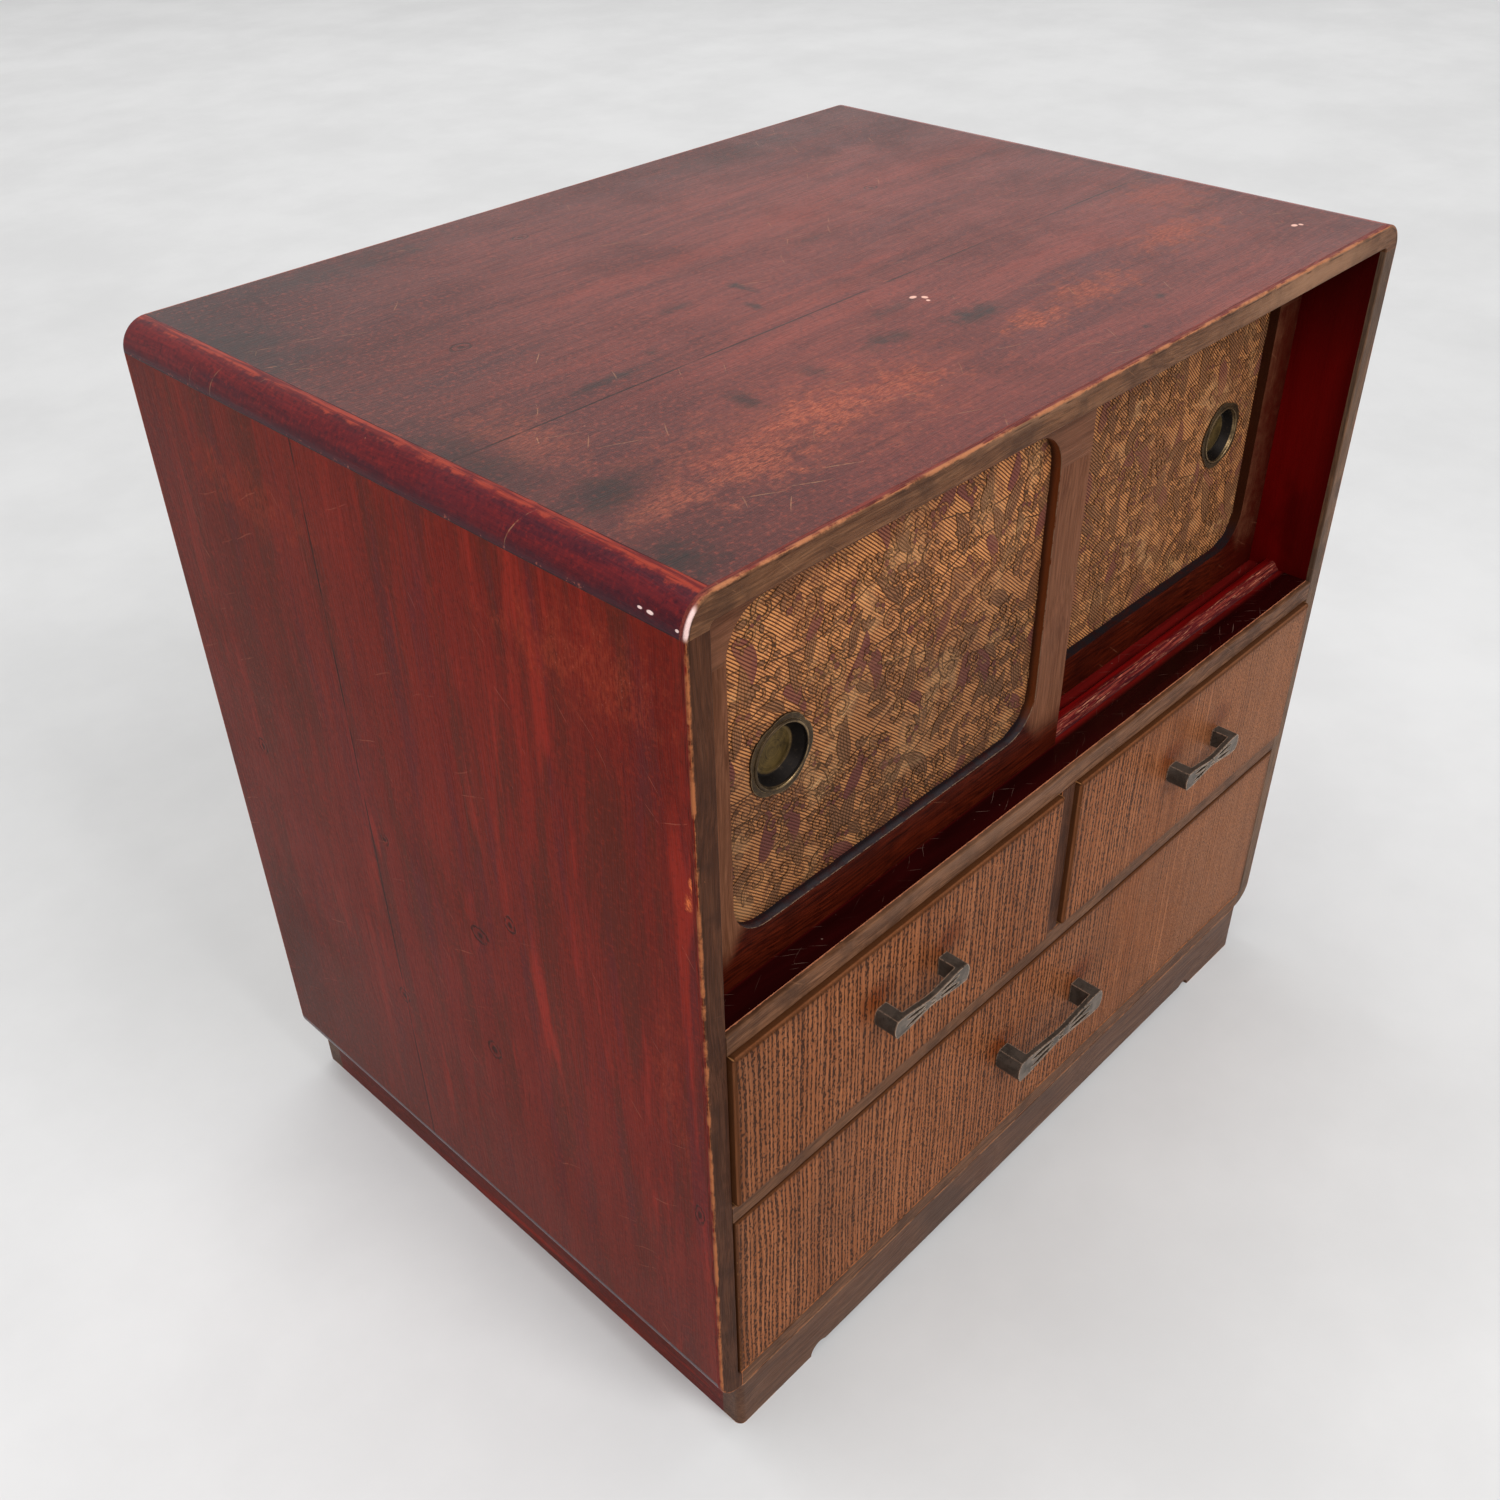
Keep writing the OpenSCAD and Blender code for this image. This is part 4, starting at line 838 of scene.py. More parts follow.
ironLook = {
    "patch": 9.0, "edge": 1.3, "deep": (0.075, 0.061, 0.05), "body": (0.18, 0.144, 0.118),
    "crust": (0.2, 0.165, 0.138), "bright": (0.62, 0.45, 0.32), "dirt": (0.026, 0.02, 0.015),
    "sides": 0.6, "rub": 0.9, "metal": 0.5, "rough": 0.4, "depth": 0.05,
}
bronzeLook = {
    "patch": 7.0, "edge": 0.7, "deep": (0.03, 0.018, 0.009), "body": (0.066, 0.041, 0.02),
    "crust": (0.085, 0.054, 0.026), "bright": (0.3, 0.2, 0.1), "dirt": (0.03, 0.02, 0.012), "sides": 0.6,
    "rub": 0.7, "metal": 0.6, "rough": 0.36, "depth": 0.04,
    "cup": {
        "centres": [tuple(1000 * c for c in pullCentre(side)) for side in ("left", "right")],
        "floor": 10.5, "rim": 14.0, "floorTone": (0.12, 0.075, 0.022), "floorDark": (0.026, 0.016, 0.005),
        # the wall colour is painted shade
        "wall": (0.005, 0.004, 0.004),
    },
}


def wovenLeaves(mm, look, thread):  # small woven leaves, thin where the cloth is worn
    there = remap(noise(mm, 44.0, 4.0, 0.6) + remap(along(mm, "Z"), 440.0, 350.0) * 0.12, 0.46, 0.62)
    seen = there * 0.75 + 0.25
    for cell, slim, vein, shift in ((15.0, 0.34, 2.6, 0.0), (9.0, 0.4, 2.2, 31.0)):
        fill, veins = leafFill(mm + (shift, 0.0, shift), Cell=cell, Slim=slim, Vein=vein)
        thread = blend(fill * seen * 0.22, thread, look["leafThread"])
        thread = blend(veins * seen * 0.55, thread, look["veinThread"])
    return thread


def makeCloth(name, look):
    material, shader, mm = startMaterial(name)
    line, bead = twill(mm, Pitch=look["pitch"], Slope=0.88, Bead=1.9)
    thread = blend(noise(mm, 30.0, 4.0, 0.6), look["thread"], look["otherThread"])
    if look["leafed"]:
        thread = wovenLeaves(mm, look, thread)
    gap = remap(line, 0.66, 0.24)
    base = blend(bead * 0.14, thread, look["gap"])
    base = blend(gap * look["gaps"], base, look["gap"])
    soil = blotch(mm, Size=34.0, Low=0.42, High=0.68, Seed=3.0)
    base = blend(soil * look["soil"], base, look["soiled"])
    plane = facePlane(mm, "Y")
    steep = {"Angle": -0.5, "Spacing": 5.0, "Length": 26.0, "Width": 0.5, "Amount": 0.28, "Seed": 11.0}
    level = {"Angle": 0.15, "Spacing": 8.0, "Length": 34.0, "Width": 0.45, "Amount": 0.25, "Seed": 21.0}
    golden = highest(scratches(plane, **steep), scratches(plane, **level))
    faded = blotch(mm, Size=26.0, Low=0.48, High=0.68, Seed=6.0)
    base = blend(faded * 0.2, base, look["worn"])
    base = blend(golden * (faded * 0.8 + 0.2) * 0.7, base, look["worn"])
    x, y, z = split(mm)
    if look.get("fades"):  # old figures sink into the ground colour here and there, more on the right door
        fading = blotch(mm, Size=42.0, Low=0.44, High=0.7, Seed=15.0) + remap(x, -10.0, 20.0) * 0.5
        ground = blend(gap * groundCloth["gaps"], groundCloth["otherThread"], groundCloth["gap"])
        base = blend(fading * look["fades"], base, ground)
    lowLeft = remap(z + noise(mm, 40.0, 3.0, 0.6) * 50.0, 458.0, 378.0) * remap(x, 12.0, -30.0)
    aged = highest(lowLeft, remap(x, -10.0, 20.0) * 0.62)  # browner and darker low on the left door, and painted shade over the right door
    base = blend(aged * 0.85, base, (0.56, 0.58, 0.63), "MULTIPLY")
    shine = {"Specular_IOR_Level": 0.12, "Specular_Tint": (1.0, 0.75, 0.5)}
    sheen = {"Sheen_Weight": 0.1, "Sheen_Roughness": 0.45, "Sheen_Tint": (0.8, 0.45, 0.2)}
    endMaterial(shader, base, gap * 0.15 + 0.6, line * 0.8 + bead * 0.3, 0.1, **shine, **sheen)
    return material


groundCloth = {
    "pitch": 1.36, "thread": (0.74, 0.3, 0.1), "otherThread": (0.55, 0.22, 0.075),
    "gap": (0.065, 0.018, 0.009), "gaps": 0.95, "soil": 0.3, "soiled": (0.15, 0.055, 0.032),
    "worn": (0.7, 0.42, 0.19), "leafed": True, "leafThread": (0.33, 0.13, 0.065),
    "veinThread": (0.1, 0.04, 0.018),
}
figureCloth = dict(groundCloth, leafed=False)
clothLooks = {
    "brocadeGround": groundCloth,
    "brocadeGold": dict(
        figureCloth, thread=(0.47, 0.186, 0.062), otherThread=(0.37, 0.147, 0.05), fades=0.1
    ),
    "brocadeOutline": dict(
        figureCloth, thread=(0.075, 0.03, 0.012), otherThread=(0.11, 0.046, 0.018),
        gap=(0.022, 0.009, 0.005), gaps=0.7, worn=(0.3, 0.16, 0.07), fades=0.25
    ),
    "brocadeLeaf": dict(
        figureCloth, thread=(0.3, 0.125, 0.055), otherThread=(0.235, 0.1, 0.046), gap=(0.05, 0.018, 0.01),
        gaps=0.9, worn=(0.42, 0.24, 0.11), fades=0.25
    ),
    "brocadeFruit": dict(
        figureCloth, thread=(0.2, 0.058, 0.042), otherThread=(0.16, 0.048, 0.038),
        gap=(0.06, 0.014, 0.015), gaps=0.88, worn=(0.36, 0.17, 0.09), fades=0.3
    ),
}
lowFrameLook = dict(
    frameLook, grain="X", seed=59.0, deep=(0.012, 0.001, 0.0004), body=(0.028, 0.0024, 0.001),
    bright=(0.115, 0.014, 0.004), dark=(0.005, 0.0007, 0.0005), smoky=(0.013, 0.0017, 0.0009),
    figureWidth=5.0, streaks=0.7, rough=0.44
)
# painted shade on the right door's outer stile and the right end of its top rail
rightEdgeShade = (0.034, 0.002, 0.001)
railLook = dict(
    frameLook, grain="X", seed=57.0, handTone=rightEdgeShade, hands=[((242, -146, 466), (56, 90, 120), 0.94)]
)
stileLook = dict(
    frameLook, handTone=rightEdgeShade, hands=[((240, -146, 375), (60, 90, 420), 0.97)], shine=0.04,
    shineTint=(1.0, 0.7, 0.6), lower=lowFrameLook, changeLow=296.0, changeHigh=314.0
)
lacquerLooks = {
    "topLacquer": topLook, "leftLacquer": sideLook, "rightLacquer": rightLook, "cornerLacquer": cornerLook,
    "plinthLacquer": plinthSideLook,
}
woodLooks = {
    "frameX": railLook, "frameZ": stileLook, "plinthWood": plinthLook, "oakFront": oakLook, "rawY": rawLook,
    "rawX": dict(rawLook, grain="X", face="Y", seed=85.0), "backWood": backLook,
}
metalLooks = {"agedIron": ironLook, "agedBronze": bronzeLook}
finishes = {"ledgeLacquer": makeLedge(), "trackLacquer": makeTrack()}
looksOf = {makeLacquer: lacquerLooks, makeWood: woodLooks, makeMetal: metalLooks, makeCloth: clothLooks}
for makeFinish, looks in looksOf.items():
    for name, look in looks.items():
        finishes[name] = makeFinish(name, look)

wearsFinish = {
    "topLacquer": ["top_front_board", "top_back_board"],
    "leftLacquer": ["left_side_front_board", "left_side_back_board"],
    "rightLacquer": ["right_side_front_board", "right_side_back_board"],
    "cornerLacquer": ["top_left_corner", "top_right_corner", "bottom_left_corner", "bottom_right_corner"],
    "plinthLacquer": ["plinth_left", "plinth_right"], "ledgeLacquer": ["shelf_board"],
    "trackLacquer": ["track_rails"],
    "frameX": ["left_door_top_rail", "right_door_top_rail", "upper_track_battens"],
    "frameZ": [
        "left_door_stiles", "right_door_stiles", "left_door_bottom_rail", "right_door_bottom_rail",
    ],
    "plinthWood": ["plinth_front", "plinth_back"],
    "oakFront": ["left_drawer_front", "right_drawer_front", "wide_drawer_front"],
    "rawY": [
        "divider_panel", "drawer_runners", "left_drawer_sides", "right_drawer_sides", "wide_drawer_sides",
    ],
    "rawX": [
        "bottom_board", "rear_rail", "left_door_panel", "right_door_panel", "left_drawer_back",
        "right_drawer_back", "wide_drawer_back", "left_drawer_bottom", "right_drawer_bottom",
        "wide_drawer_bottom",
    ],
    "backWood": ["back_boards"],
    "agedIron": [
        "back_nails", "left_handle", "right_handle", "wide_handle", "left_handle_screws",
        "right_handle_screws", "wide_handle_screws",
    ],
    "agedBronze": ["left_finger_pull", "right_finger_pull"],
}
redSkin = ((0.06, 0.007, 0.004), (0.19, 0.012, 0.006))
topSkin = ((0.07, 0.014, 0.012), (0.2, 0.04, 0.03))
darker = {
    "deep": (0.036, 0.012, 0.006), "body": (0.08, 0.027, 0.012), "bright": (0.13, 0.05, 0.025),
    "smoky": (0.03, 0.012, 0.007), "shine": 0.05,
}
lippings = {  # what differs from the plain lipping
    "top_lipping": {
        "skin": topSkin, "edge": (0.4, 0.155, 0.07), "edgeWidth": 1.2, "edges": 0.62,
        "handTone": (0.3, 0.155, 0.085),
        "hands": [((165, -172, 479), (100, 12, 11), 0.7), ((-60, -172, 484), (70, 12, 4), 0.45)],
    },
    "shelf_lipping": {
        "bright": (0.33, 0.155, 0.08), "edge": (0.56, 0.2, 0.1), "edgeWidth": 1.0, "edges": 0.9,
        "handTone": (0.26, 0.14, 0.085), "hands": [((-60, -172, 280), (150, 12, 8), 0.3)],
    },
    "bottom_lipping": {"skin": redSkin},
    "mid_rail": {"edges": 0.5},
    "left_lipping": dict(darker, grain="Z", skin=redSkin),
    "right_lipping": {
        "grain": "Z", "skin": redSkin, "deep": (0.09, 0.055, 0.035), "body": (0.16, 0.1, 0.065),
        "smoky": (0.06, 0.035, 0.025), "handTone": (0.055, 0.032, 0.022),
        "hands": [((246, -172, 455), (22, 12, 70), 0.7)],
    },
    "divider_lipping": dict(darker, grain="Z", edges=0.5),
}
hiddenEdge = 20.0  # edges that don't show are taken this much farther out, so that no wear falls there


def finishLipping(number, node, change):
    look = dict(lippingLook, seed=lippingLook["seed"] + number, **change)
    low, high = [1000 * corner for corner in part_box(node)]
    ends = {"X": Vector((hiddenEdge, 0, 0)), "Z": Vector((0, 0, hiddenEdge))}[look["grain"]]
    low, high = low - ends, high + ends
    if node == "top_lipping":
        low.z -= hiddenEdge
    if node == "shelf_lipping":
        low.y -= hiddenEdge
    look["edgeBox"] = (tuple((low + high) / 2), tuple((high - low) / 2))
    finishes[node] = makeWood(node + "Wood", look)
    wearsFinish[node] = [node]


for number, (node, change) in enumerate(lippings.items()):
    finishLipping(number, node, change)
for finish, members in wearsFinish.items():
    for member in members:
        for slot in cadNodes[member].material_slots:
            slot.material = finishes[finish]
print("finishes laid on", sum(len(members) for members in wearsFinish.values()), "nodes")


# door cloth and its woven figures (meshes in metres)
clothSize = {
    "overlap": 0.0002, "cell": 0.003, "thickness": 0.00055, "swell": 0.00016, "holeRadius": 0.0152,
    "pullRadius": 0.0168, "lift": 0.00005,
    "border": 0.0012, "stackStep": 0.0000012,
}
clothBox = {side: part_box(side + "_door_fabric") for side in ("left", "right")}


def clothFront(side, x, z):  # y of the cloth's face: flat at its glued edge, faintly uneven inside
    low, high = clothBox[side]
    edge = min(x - low.x, high.x - x, z - low.z, high.z - z)
    inside = max(0.0, min(1.0, (edge - 0.006) / 0.02))
    phase = 0.0 if side == "left" else 2.1
    wide = 0.28 * math.sin(x * 95 + phase) * math.cos(z * 71 + phase)
    narrow = 0.22 * math.sin(x * 41 - z * 57 + 2 * phase)
    return low.y - clothSize["swell"] * inside * (0.5 + wide + narrow)


def gridLine(low, high):  # evenly spaced places from one edge of the cloth to the other
    count = round((high - low) / clothSize["cell"])
    inset = clothSize["overlap"]
    return [low + inset + (high - low - 2 * inset) * i / count for i in range(count + 1)]


def clothFace(side, mesh):  # the front of the sheet, with a round hole under the finger pull
    low, high = clothBox[side]
    cx, cz = pullCentre(side)
    radius = clothSize["holeRadius"]
    xs, zs = gridLine(low.x, high.x), gridLine(low.z, high.z)
    grid = [[mesh.verts.new((x, 0.0, z)) for x in xs] for z in zs]
    for j in range(len(zs) - 1):
        for i in range(len(xs) - 1):
            corners = [grid[j][i], grid[j][i + 1], grid[j + 1][i + 1], grid[j + 1][i]]
            mx, mz = sum(v.co.x for v in corners) / 4, sum(v.co.z for v in corners) / 4
            if math.hypot(mx - cx, mz - cz) > radius:
                mesh.faces.new(corners)
    bmesh.ops.delete(mesh, geom=[v for v in mesh.verts if not v.link_faces], context="VERTS")
    for v in mesh.verts:
        if v.is_boundary and math.hypot(v.co.x - cx, v.co.z - cz) < radius * 1.6:
            away = Vector((v.co.x - cx, 0.0, v.co.z - cz)).normalized() * radius
            v.co = Vector((cx, 0.0, cz)) + away
        v.co.y = clothFront(side, v.co.x, v.co.z)


def makeClothSheet(side):
    mesh = bmesh.new()
    clothFace(side, mesh)
    front = list(mesh.faces)
    rims = [edge for edge in mesh.edges if edge.is_boundary]
    backPlace = clothBox[side][0].y + clothSize["thickness"]
    back = {v: mesh.verts.new((v.co.x, backPlace, v.co.z)) for v in list(mesh.verts)}
    for face in front:
        mesh.faces.new([back[v] for v in reversed(face.verts)])
    for edge in rims:
        order = [loop.vert for loop in edge.link_faces[0].loops]
        a, b = edge.verts
        if order[(order.index(a) + 1) % len(order)] != b:
            a, b = b, a
        mesh.faces.new([b, a, back[a], back[b]])
    bmesh.ops.recalc_face_normals(mesh, faces=mesh.faces)
    data = bpy.data.meshes.new(side + "DoorCloth")
    mesh.to_mesh(data)
    mesh.free()
    for polygon in data.polygons:
        polygon.use_smooth = abs(polygon.normal.y) > 0.7
    data.materials.append(finishes["brocadeGround"])
    return addObject(side + "DoorCloth", data)


def addObject(name, data):
    made = bpy.data.objects.new(name, data)
    stage.collection.objects.link(made)
    return made


# sizes of the woven figures in millimetres, and the numbers that their faces carry for their threads
figureSize = {
    "outline": 0.62, "curlRadius": 8.2, "curlWidth": 2.4, "leafLength": 31.0, "leafWidth": 9.0,
    "fruitLength": 29.0, "fruitWidth": 11.5, "flowerRadius": 8.0, "sprigLength": 19.0, "stemWidth": 0.7,
    "seedLeft": 5, "seedRight": 12,
}
outlineThread, leafThread, fruitThread, goldThread = range(4)


def ribbon(mesh, layer, points, widths, thread, depth):  # a flat strip of faces in the x-z plane
    lastPair = None
    for i, (x, z) in enumerate(points):
        ax, az = points[max(i - 1, 0)]
        bx, bz = points[min(i + 1, len(points) - 1)]
        length = math.hypot(bx - ax, bz - az) or 1.0
        nx, nz = -(bz - az) / length, (bx - ax) / length
        w = max(widths[i], 0.03) / 2
        pair = [mesh.verts.new(((x + nx * s) / 1000, -depth / 1000, (z + nz * s) / 1000)) for s in (-w, w)]
        if lastPair:
            face = mesh.faces.new([lastPair[0], pair[0], pair[1], lastPair[1]])
            face[layer] = thread
        lastPair = pair


def outlined(mesh, layer, points, widths, thread, depth=0.02):
    outer = [w + 2 * figureSize["outline"] for w in widths]
    ribbon(mesh, layer, points, outer, outlineThread, depth)
    ribbon(mesh, layer, points[1:-1], widths[1:-1], thread, depth + 0.02)


def arc(count, shape):
    return [shape(i / (count - 1)) for i in range(count)]


def spindle(count, width, start, share):  # widths of a blade that is thick in the middle
    return arc(count, lambda t: width * math.sin(math.pi * (start + share * t)))


def spoke(turn, first, last):  # a straight line from one radius to another
    def place(t):
        radius = first + (last - first) * t
        return radius * math.cos(turn), radius * math.sin(turn)
    return place


def drawCurl(mesh, layer):
    r, w = figureSize["curlRadius"], figureSize["curlWidth"]

    def spiral(t):
        turn, radius = 0.2 + t * 6.4, r * (1.0 - 0.8 * t ** 0.9)
        return radius * math.cos(turn) - r * 0.2, radius * math.sin(turn)

    def leaflet(x, z, turn):
        return lambda t: (r * (x + 0.8 * t * math.cos(turn)), r * (z + 0.8 * t * math.sin(turn)))

    outlined(mesh, layer, arc(34, spiral), arc(34, lambda t: w * (1.0 - 0.62 * t)), goldThread)
    tail = arc(12, lambda t: (r * (0.8 + 0.25 * math.sin(3 * t)), r * (0.25 - 1.9 * t)))
    outlined(mesh, layer, tail, arc(12, lambda t: w * (1.0 - 0.75 * t)), goldThread)
    for x, z, turn in ((1.15, -0.5, 0.5), (0.6, -1.1, 3.6), (-1.05, 0.75, 2.3)):
        outlined(mesh, layer, arc(8, leaflet(x, z, turn)), spindle(8, 2.8, 0.08, 0.88), leafThread)


def drawLeaf(mesh, layer):
    length, width = figureSize["leafLength"], figureSize["leafWidth"]

    def swell(t):
        return max(0.0, math.sin(math.pi * t ** 0.8)) ** 1.15

    def spine(t):
        return length * (t - 0.5), 3.4 * math.sin(math.pi * t * 0.9)

    def veinLine(share):  # a vein that runs along the leaf
        def place(t):
            x, z = spine(0.1 + 0.76 * t)
            return x, z + share * width * swell(0.1 + 0.76 * t)
        return place

    full = arc(21, lambda t: width * swell(t))
    pointed = [w + 2 * figureSize["outline"] * min(1.0, w) for w in full]
    ribbon(mesh, layer, arc(21, spine), pointed, outlineThread, 0.02)
    ribbon(mesh, layer, arc(21, spine)[1:-1], full[1:-1], leafThread, 0.04)
    veinWidths = arc(15, lambda t: 0.85 - 0.49 * t)
    for share in (-0.27, 0.0, 0.27):
        ribbon(mesh, layer, arc(15, veinLine(share)), veinWidths, outlineThread, 0.06)


def drawFruit(mesh, layer):
    length, width = figureSize["fruitLength"], figureSize["fruitWidth"]

    def spine(t):
        return 5.4 * math.sin(2.7 * t) - 2.0, length * (t - 0.45)

    def swell(t):
        return width * math.sin(math.pi * min(1.0, 0.05 + t)) ** 0.6 * (1.06 - 0.56 * t)

    def sepal(turn):
        x, z = spine(1.0)
        return lambda t: (x + 7.0 * t * math.cos(turn), z - 1.5 + 7.0 * t * math.sin(turn))

    ribbon(mesh, layer, arc(18, spine), arc(18, swell), fruitThread, 0.02)
    for k in range(3):
        outlined(mesh, layer, arc(7, sepal(0.9 + 0.7 * k)), spindle(7, 2.0, 0.08, 0.86), leafThread)


def drawFlower(mesh, layer):
    r = figureSize["flowerRadius"]
    for k in range(6):
        petal = arc(9, spoke(k * fullTurn / 6 + 0.3, r * 0.14, r))
        thread = fruitThread if k % 3 == 0 else goldThread
        outlined(mesh, layer, petal, spindle(9, r * 0.62, 0.08, 0.86), thread)
        ribbon(mesh, layer, petal[2:7], [0.5] * 5, outlineThread, 0.07)
    heart = spindle(9, r * 0.4, 0.06, 0.88)
    ribbon(mesh, layer, arc(9, spoke(0.0, r * -0.2, r * 0.2)), heart, outlineThread, 0.08)


def drawSprig(mesh, layer):  # a tuft of narrow blades
    def blade(bend, reach):
        return lambda t: (bend * (0.25 * t + 0.95 * t * t), reach * t)

    widths = arc(12, lambda t: 0.1 + 2.5 * math.sin(math.pi * t ** 0.8))
    for k in range(5):
        reach = figureSize["sprigLength"] * (0.66 + 0.34 * math.cos((k - 2) * 0.7))
        thread = leafThread if k % 2 else goldThread
        outlined(mesh, layer, arc(12, blade((k - 2) * 4.6, reach)), widths, thread, 0.02 + 0.004 * k)


def makeFigure(index, name, draw, collection):
    mesh = bmesh.new()
    draw(mesh, mesh.faces.layers.int.new("thread"))
    data = bpy.data.meshes.new(name)
    mesh.to_mesh(data)
    mesh.free()
    collection.objects.link(bpy.data.objects.new("%d%s" % (index, name), data))


figures = bpy.data.collections.new("wovenFigures")
curl, flower, fruit, leaf, sprig = range(5)
drawn = {"Curl": drawCurl, "Flower": drawFlower, "Fruit": drawFruit, "Leaf": drawLeaf, "Sprig": drawSprig}
for number, (figureName, draw) in enumerate(drawn.items()):
    makeFigure(number, figureName, draw, figures)

clothOrder = {
    "Outline Cloth": "brocadeOutline", "Leaf Cloth": "brocadeLeaf",
    "Fruit Cloth": "brocadeFruit", "Gold Cloth": "brocadeGold",
}


def makeRepeatTree():  # figures instanced on points, made real, and each thread given its cloth
    tree = bpy.data.node_groups.new("repeatFigures", "GeometryNodeTree")
    wanted = {"Geometry": "Geometry", "Figures": "Collection", "Figure Size": "Float"}
    for label, kind in {**wanted, **{label: "Material" for label in clothOrder}}.items():
        tree.interface.new_socket(name=label, in_out="INPUT", socket_type="NodeSocket" + kind)
    tree.interface.new_socket(name="Geometry", in_out="OUTPUT", socket_type="NodeSocketGeometry")
    sockets = tree.nodes.new("NodeGroupInput").outputs
    given = {label: NodeValue(sockets[label]) for label in (*wanted, *clothOrder)}

    def attribute(name, kind):
        return addNode("GeometryNodeInputNamedAttribute", "Attribute", {"Name": name}, tree, data_type=kind)

    children = {"Collection": given["Figures"], "Separate Children": True, "Reset Children": True}
    size = attribute("size", "FLOAT") * given["Figure Size"]
    places = {
        "Points": given["Geometry"], "Instance": addNode("GeometryNodeCollectionInfo", 0, children),
        "Pick Instance": True, "Instance Index": attribute("figure", "INT"),
        "Rotation": join(0.0, attribute("turn", "FLOAT"), 0.0),
        "Scale": join(size * attribute("flip", "FLOAT"), 1.0, size),
    }
    placed = addNode("GeometryNodeInstanceOnPoints", 0, places)
    last = addNode("GeometryNodeRealizeInstances", 0, {0: placed})
    for number, label in enumerate(clothOrder):
        same = {2: attribute("thread", "INT"), 3: number}
        chosen = addNode("FunctionNodeCompare", 0, same, data_type="INT", operation="EQUAL")
        cloth = {"Geometry": last, "Selection": chosen, "Material": given[label]}
        last = addNode("GeometryNodeSetMaterial", 0, cloth)
    plug(last, tree.nodes.new("NodeGroupOutput").inputs[0])
    return tree


repeatTree = makeRepeatTree()


def clothEdges(side):  # the left, right, bottom and top edge of a door cloth, in millimetres
    low, high = clothBox[side]
    return low.x * 1000, high.x * 1000, low.z * 1000, high.z * 1000


layout = {  # millimetres, and how many of each
    "stems": 8, "stemSpacing": 24, "stemStart": (-14, -22), "stemPoints": 100, "pointSpacing": 2.5,
    "sway": 7, "swayLength": 19, "rise": 0.12, "figureEvery": 5, "tries": 420, "gap": 5.6, "clearOfPull": 20,
}


def stemLine(side, row):  # a meandering stem across the cloth
    left, right, bottom, top = clothEdges(side)
    startX, startZ = layout["stemStart"]
    phase = row * 2.2 + (0 if side == "left" else 1.3)
    stem = []
    for i in range(layout["stemPoints"]):
        x = left + startX + i * layout["pointSpacing"]
        sway = layout["sway"] * math.sin(x / layout["swayLength"] + phase)
        z = bottom + startZ + row * layout["stemSpacing"] + sway + layout["rise"] * (x - left)
        stem.append((x, z))
    return stem


def layOutFigures(side):  # own layout: stems with figures on both sides, small figures in the gaps
    left, right, bottom, top = clothEdges(side)
    cx, cz = [1000 * place for place in pullCentre(side)]
    rng = random.Random(figureSize["seedLeft" if side == "left" else "seedRight"])
    stems = [stemLine(side, row) for row in range(layout["stems"])]
    order = (leaf, curl, leaf, fruit, curl, flower, leaf, sprig, curl, fruit)
    reaches = {curl: 7.0, flower: 7.0, fruit: 10.5, leaf: 11.0, sprig: 2.0}
    places = []
    for row, stem in enumerate(stems):
        for step, i in enumerate(range(2, layout["stemPoints"] - 3, layout["figureEvery"])):
            (ax, az), (x, z) = stem[i - 1], stem[i]
            heading = math.atan2(z - az, x - ax)
            sign = 1 if step % 2 else -1
            kind = order[(step + row * 3) % len(order)]
            away = heading + sign * (1.2 + rng.uniform(-0.3, 0.3))
            px, pz = x + reaches[kind] * math.cos(away), z + reaches[kind] * math.sin(away)
            free = -heading + rng.uniform(-0.9, 0.9)
            upright = math.pi / 2 - away
            turn = {leaf: -away, fruit: upright, sprig: upright}.get(kind, free)
            places.append((px, pz, kind, turn, rng.uniform(0.58, 0.98), sign))
    for attempt in range(layout["tries"]):
        px, pz = rng.uniform(left, right), rng.uniform(bottom, top)
        if min(math.hypot(px - place[0], pz - place[1]) for place in places) > layout["gap"]:
            kind = rng.choice((curl, curl, flower, leaf, flower))
            places.append((px, pz, kind, rng.uniform(0, 6.28), rng.uniform(0.4, 0.62), rng.choice((-1, 1))))
    clear = [p for p in places if math.hypot(p[0] - cx, p[1] - cz) > layout["clearOfPull"]]
    return clear, stems


def repeatFigures(side, places):  # a plain mesh of all figures of one door
    data = bpy.data.meshes.new(side + "DoorFigures")
    step = clothSize["stackStep"]
    data.from_pydata([(p[0] / 1000, -step * i, p[1] / 1000) for i, p in enumerate(places)], [], [])
    columns = (("figure", "INT", 2), ("turn", "FLOAT", 3), ("size", "FLOAT", 4), ("flip", "FLOAT", 5))
    for name, kind, column in columns:
        data.attributes.new(name, kind, "POINT").data.foreach_set("value", [p[column] for p in places])
    holder = addObject(side + "FigurePoints", data)
    modifier = holder.modifiers.new("repeat", "NODES")
    modifier.node_group = repeatTree
    cloths = {label: finishes[finish] for label, finish in clothOrder.items()}
    given = {"Figures": figures, "Figure Size": 1.0, **cloths}
    for item in repeatTree.interface.items_tree:
        if item.in_out == "INPUT" and item.name in given:
            modifier[item.identifier] = given[item.name]
    graph = bpy.context.evaluated_depsgraph_get()
    solved = holder.evaluated_get(graph)
    plain = bpy.data.meshes.new_from_object(solved, preserve_all_data_layers=True, depsgraph=graph)
    bpy.data.objects.remove(holder)
    return plain


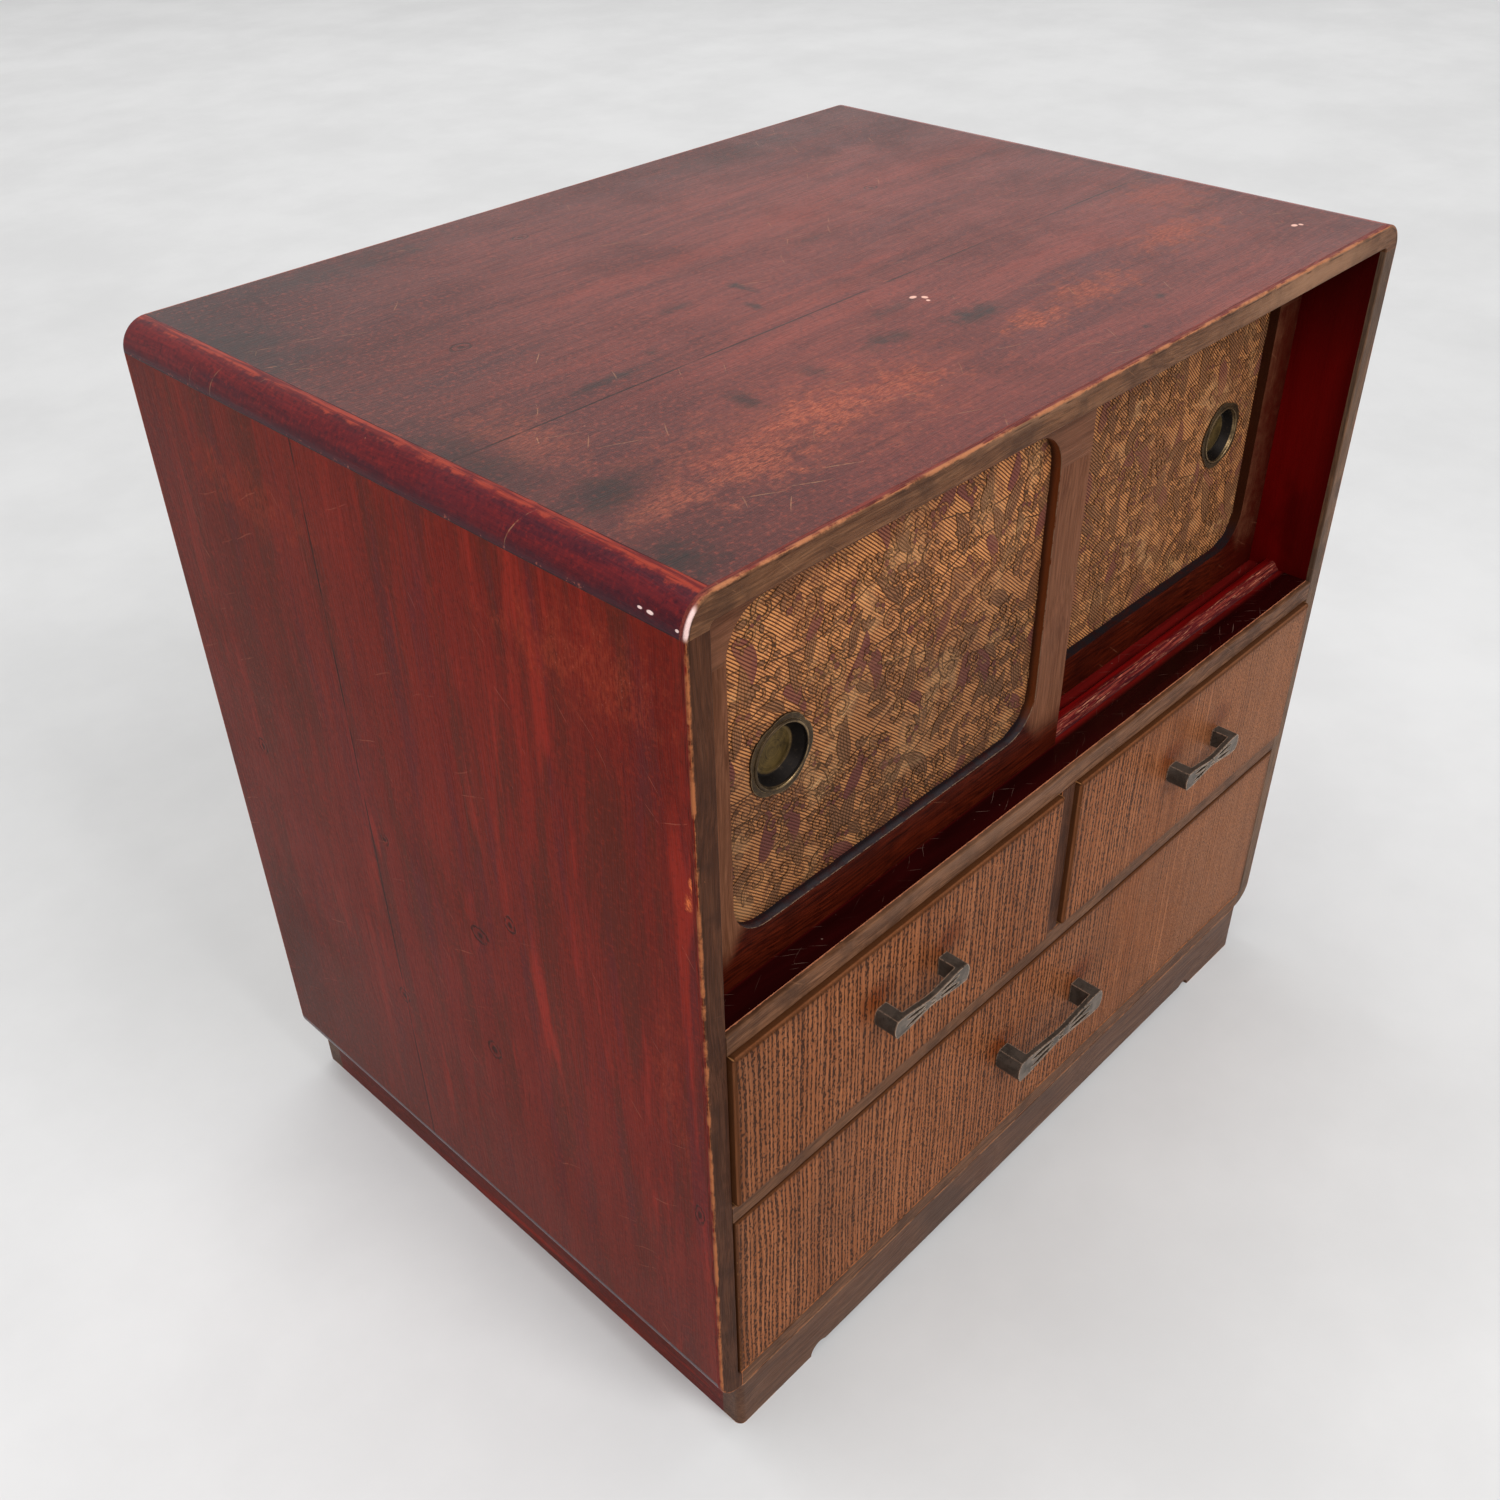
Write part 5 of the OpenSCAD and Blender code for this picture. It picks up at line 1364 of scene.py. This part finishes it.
def makeWovenFigures(side):
    low, high = clothBox[side]
    cx, cz = pullCentre(side)
    places, stems = layOutFigures(side)
    plain = repeatFigures(side, places)
    mesh = bmesh.new()
    mesh.from_mesh(plain)
    layer = mesh.faces.layers.int.get("thread")
    before = len(mesh.faces)
    for stem in stems:
        ribbon(mesh, layer, stem, [figureSize["stemWidth"]] * len(stem), outlineThread, 0.0)
    mesh.faces.ensure_lookup_table()
    slotOf = {material.name: i for i, material in enumerate(plain.materials) if material}
    for face in mesh.faces[before:]:
        face.material_index = slotOf["brocadeOutline"]
    border = clothSize["border"]
    left, right, bottom, top = low.x + border, high.x - border, low.z + border, high.z - border
    gone = []
    for face in mesh.faces:
        middle = face.calc_center_median()
        outside = not (left < middle.x < right and bottom < middle.z < top)
        nearest = min(math.hypot(v.co.x - cx, v.co.z - cz) for v in face.verts)
        if outside or nearest < clothSize["pullRadius"]:
            gone.append(face)
    bmesh.ops.delete(mesh, geom=gone, context="FACES")
    for v in mesh.verts:
        v.co.x = min(max(v.co.x, left), right)
        v.co.z = min(max(v.co.z, bottom), top)
        v.co.y = clothFront(side, v.co.x, v.co.z) - clothSize["lift"] + v.co.y
    bmesh.ops.dissolve_degenerate(mesh, dist=1e-6, edges=mesh.edges)
    for face in mesh.faces:
        if face.normal.y > 0:
            face.normal_flip()
    mesh.to_mesh(plain)
    mesh.free()
    plain.name = side + "DoorFigures"
    return addObject(side + "DoorFigures", plain)


for side in ("left", "right"):
    cloth = makeClothSheet(side)
    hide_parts(side + "_door_fabric")
    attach(cloth, side + "_door")
    woven = makeWovenFigures(side)
    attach(woven, side + "_door")
    print(side, "door:", len(cloth.data.polygons), "cloth faces,", len(woven.data.polygons), "figure faces")


# floor, light and camera
stageLook = {
    "floorColour": (0.82, 0.82, 0.82), "worldColour": (0.84, 0.84, 0.84), "worldLight": 0.5,
    "keyPower": 157.0, "keySize": 2.6, "keyPlace": (0.4, -4.4, 4.1), "fillPower": 104.0, "fillSize": 3.0,
    "fillPlace": (-3.0, -3.0, 3.75), "topPower": 76.0, "topSize": 3.0, "topPlace": (-0.5, 0.8, 4.2),
    "lampAim": (0.0, 0.0, 0.2), "floorSize": 14.0,
}
cameraLook = {  # solved from the photograph's edges; angles in degrees, place in metres
    "lens": 36.906, "sensor": 36.0, "shiftX": 0.00084, "shiftY": 0.00017,
    "place": (-0.53005, -0.47435, 0.73255), "azimuth": 45.514, "elevation": 36.457, "roll": 1.215,
}


def makeFloor():
    data = bpy.data.meshes.new("floor")
    mesh = bmesh.new()
    bmesh.ops.create_grid(mesh, x_segments=8, y_segments=8, size=stageLook["floorSize"])
    mesh.to_mesh(data)
    mesh.free()
    material, shader, mm = startMaterial("paleFloor")
    x, y, z = split(mm)
    fade = remap(x + y, 1400.0, 3900.0, 0.82, 1.08, smooth=False)  # the floor is evenly bright to the back
    shade = fade * remap(noise(mm, 240.0, 6.0, 0.62), 0.3, 0.7, 0.95, 1.03)
    base = blend(1.0, stageLook["floorColour"], join(shade, shade, shade), "MULTIPLY")
    endMaterial(shader, base, 0.75, noise(mm, 30.0, 5.0, 0.6), 0.25, Specular_IOR_Level=0.2)
    data.materials.append(material)
    addObject("floor", data)


def makeWorld():
    world = bpy.data.worlds.new("studio")
    stage.world = world
    world.use_nodes = True
    tree = world.node_tree
    tree.nodes.clear()
    rays = ["Is Camera Ray", "Is Glossy Ray", "Is Transmission Ray"]
    seen = highest(*addNode("ShaderNodeLightPath", rays, {}, tree))
    strength = blendValue(seen, stageLook["worldLight"], 1.0)
    inputs = {"Color": stageLook["worldColour"], "Strength": strength}
    plug(addNode("ShaderNodeBackground", 0, inputs), tree.nodes.new("ShaderNodeOutputWorld").inputs[0])


def makeLamp(name):
    data = bpy.data.lights.new(name + "Light", "AREA")
    data.shape, data.size, data.energy = "DISK", stageLook[name + "Size"], stageLook[name + "Power"]
    lamp = addObject(name + "Light", data)
    lamp.location = stageLook[name + "Place"]
    aim = Vector(stageLook["lampAim"]) - Vector(stageLook[name + "Place"])
    lamp.rotation_euler = aim.to_track_quat("-Z", "Y").to_euler()


def makeCamera():
    data = bpy.data.cameras.new("photoView")
    data.lens, data.sensor_width = cameraLook["lens"], cameraLook["sensor"]
    data.shift_x, data.shift_y = cameraLook["shiftX"], cameraLook["shiftY"]
    data.clip_start, data.clip_end = 0.01, 60.0
    azimuth, elevation, roll = [math.radians(cameraLook[key]) for key in ("azimuth", "elevation", "roll")]
    level = math.cos(elevation)
    forward = Vector((math.sin(azimuth) * level, math.cos(azimuth) * level, -math.sin(elevation)))
    right = Vector((math.cos(azimuth), -math.sin(azimuth), 0.0))
    down = forward.cross(right)
    rightTurned = math.cos(roll) * right + math.sin(roll) * down
    downTurned = math.cos(roll) * down - math.sin(roll) * right
    camera = addObject("photoView", data)
    facing = Matrix((rightTurned, -downTurned, -forward)).transposed().to_4x4()
    camera.matrix_world = Matrix.Translation(cameraLook["place"]) @ facing
    stage.camera = camera


makeFloor()
makeWorld()
for lampName in ("key", "fill", "top"):
    makeLamp(lampName)
makeCamera()
stage.view_settings.view_transform = "Standard"
print("stage set")
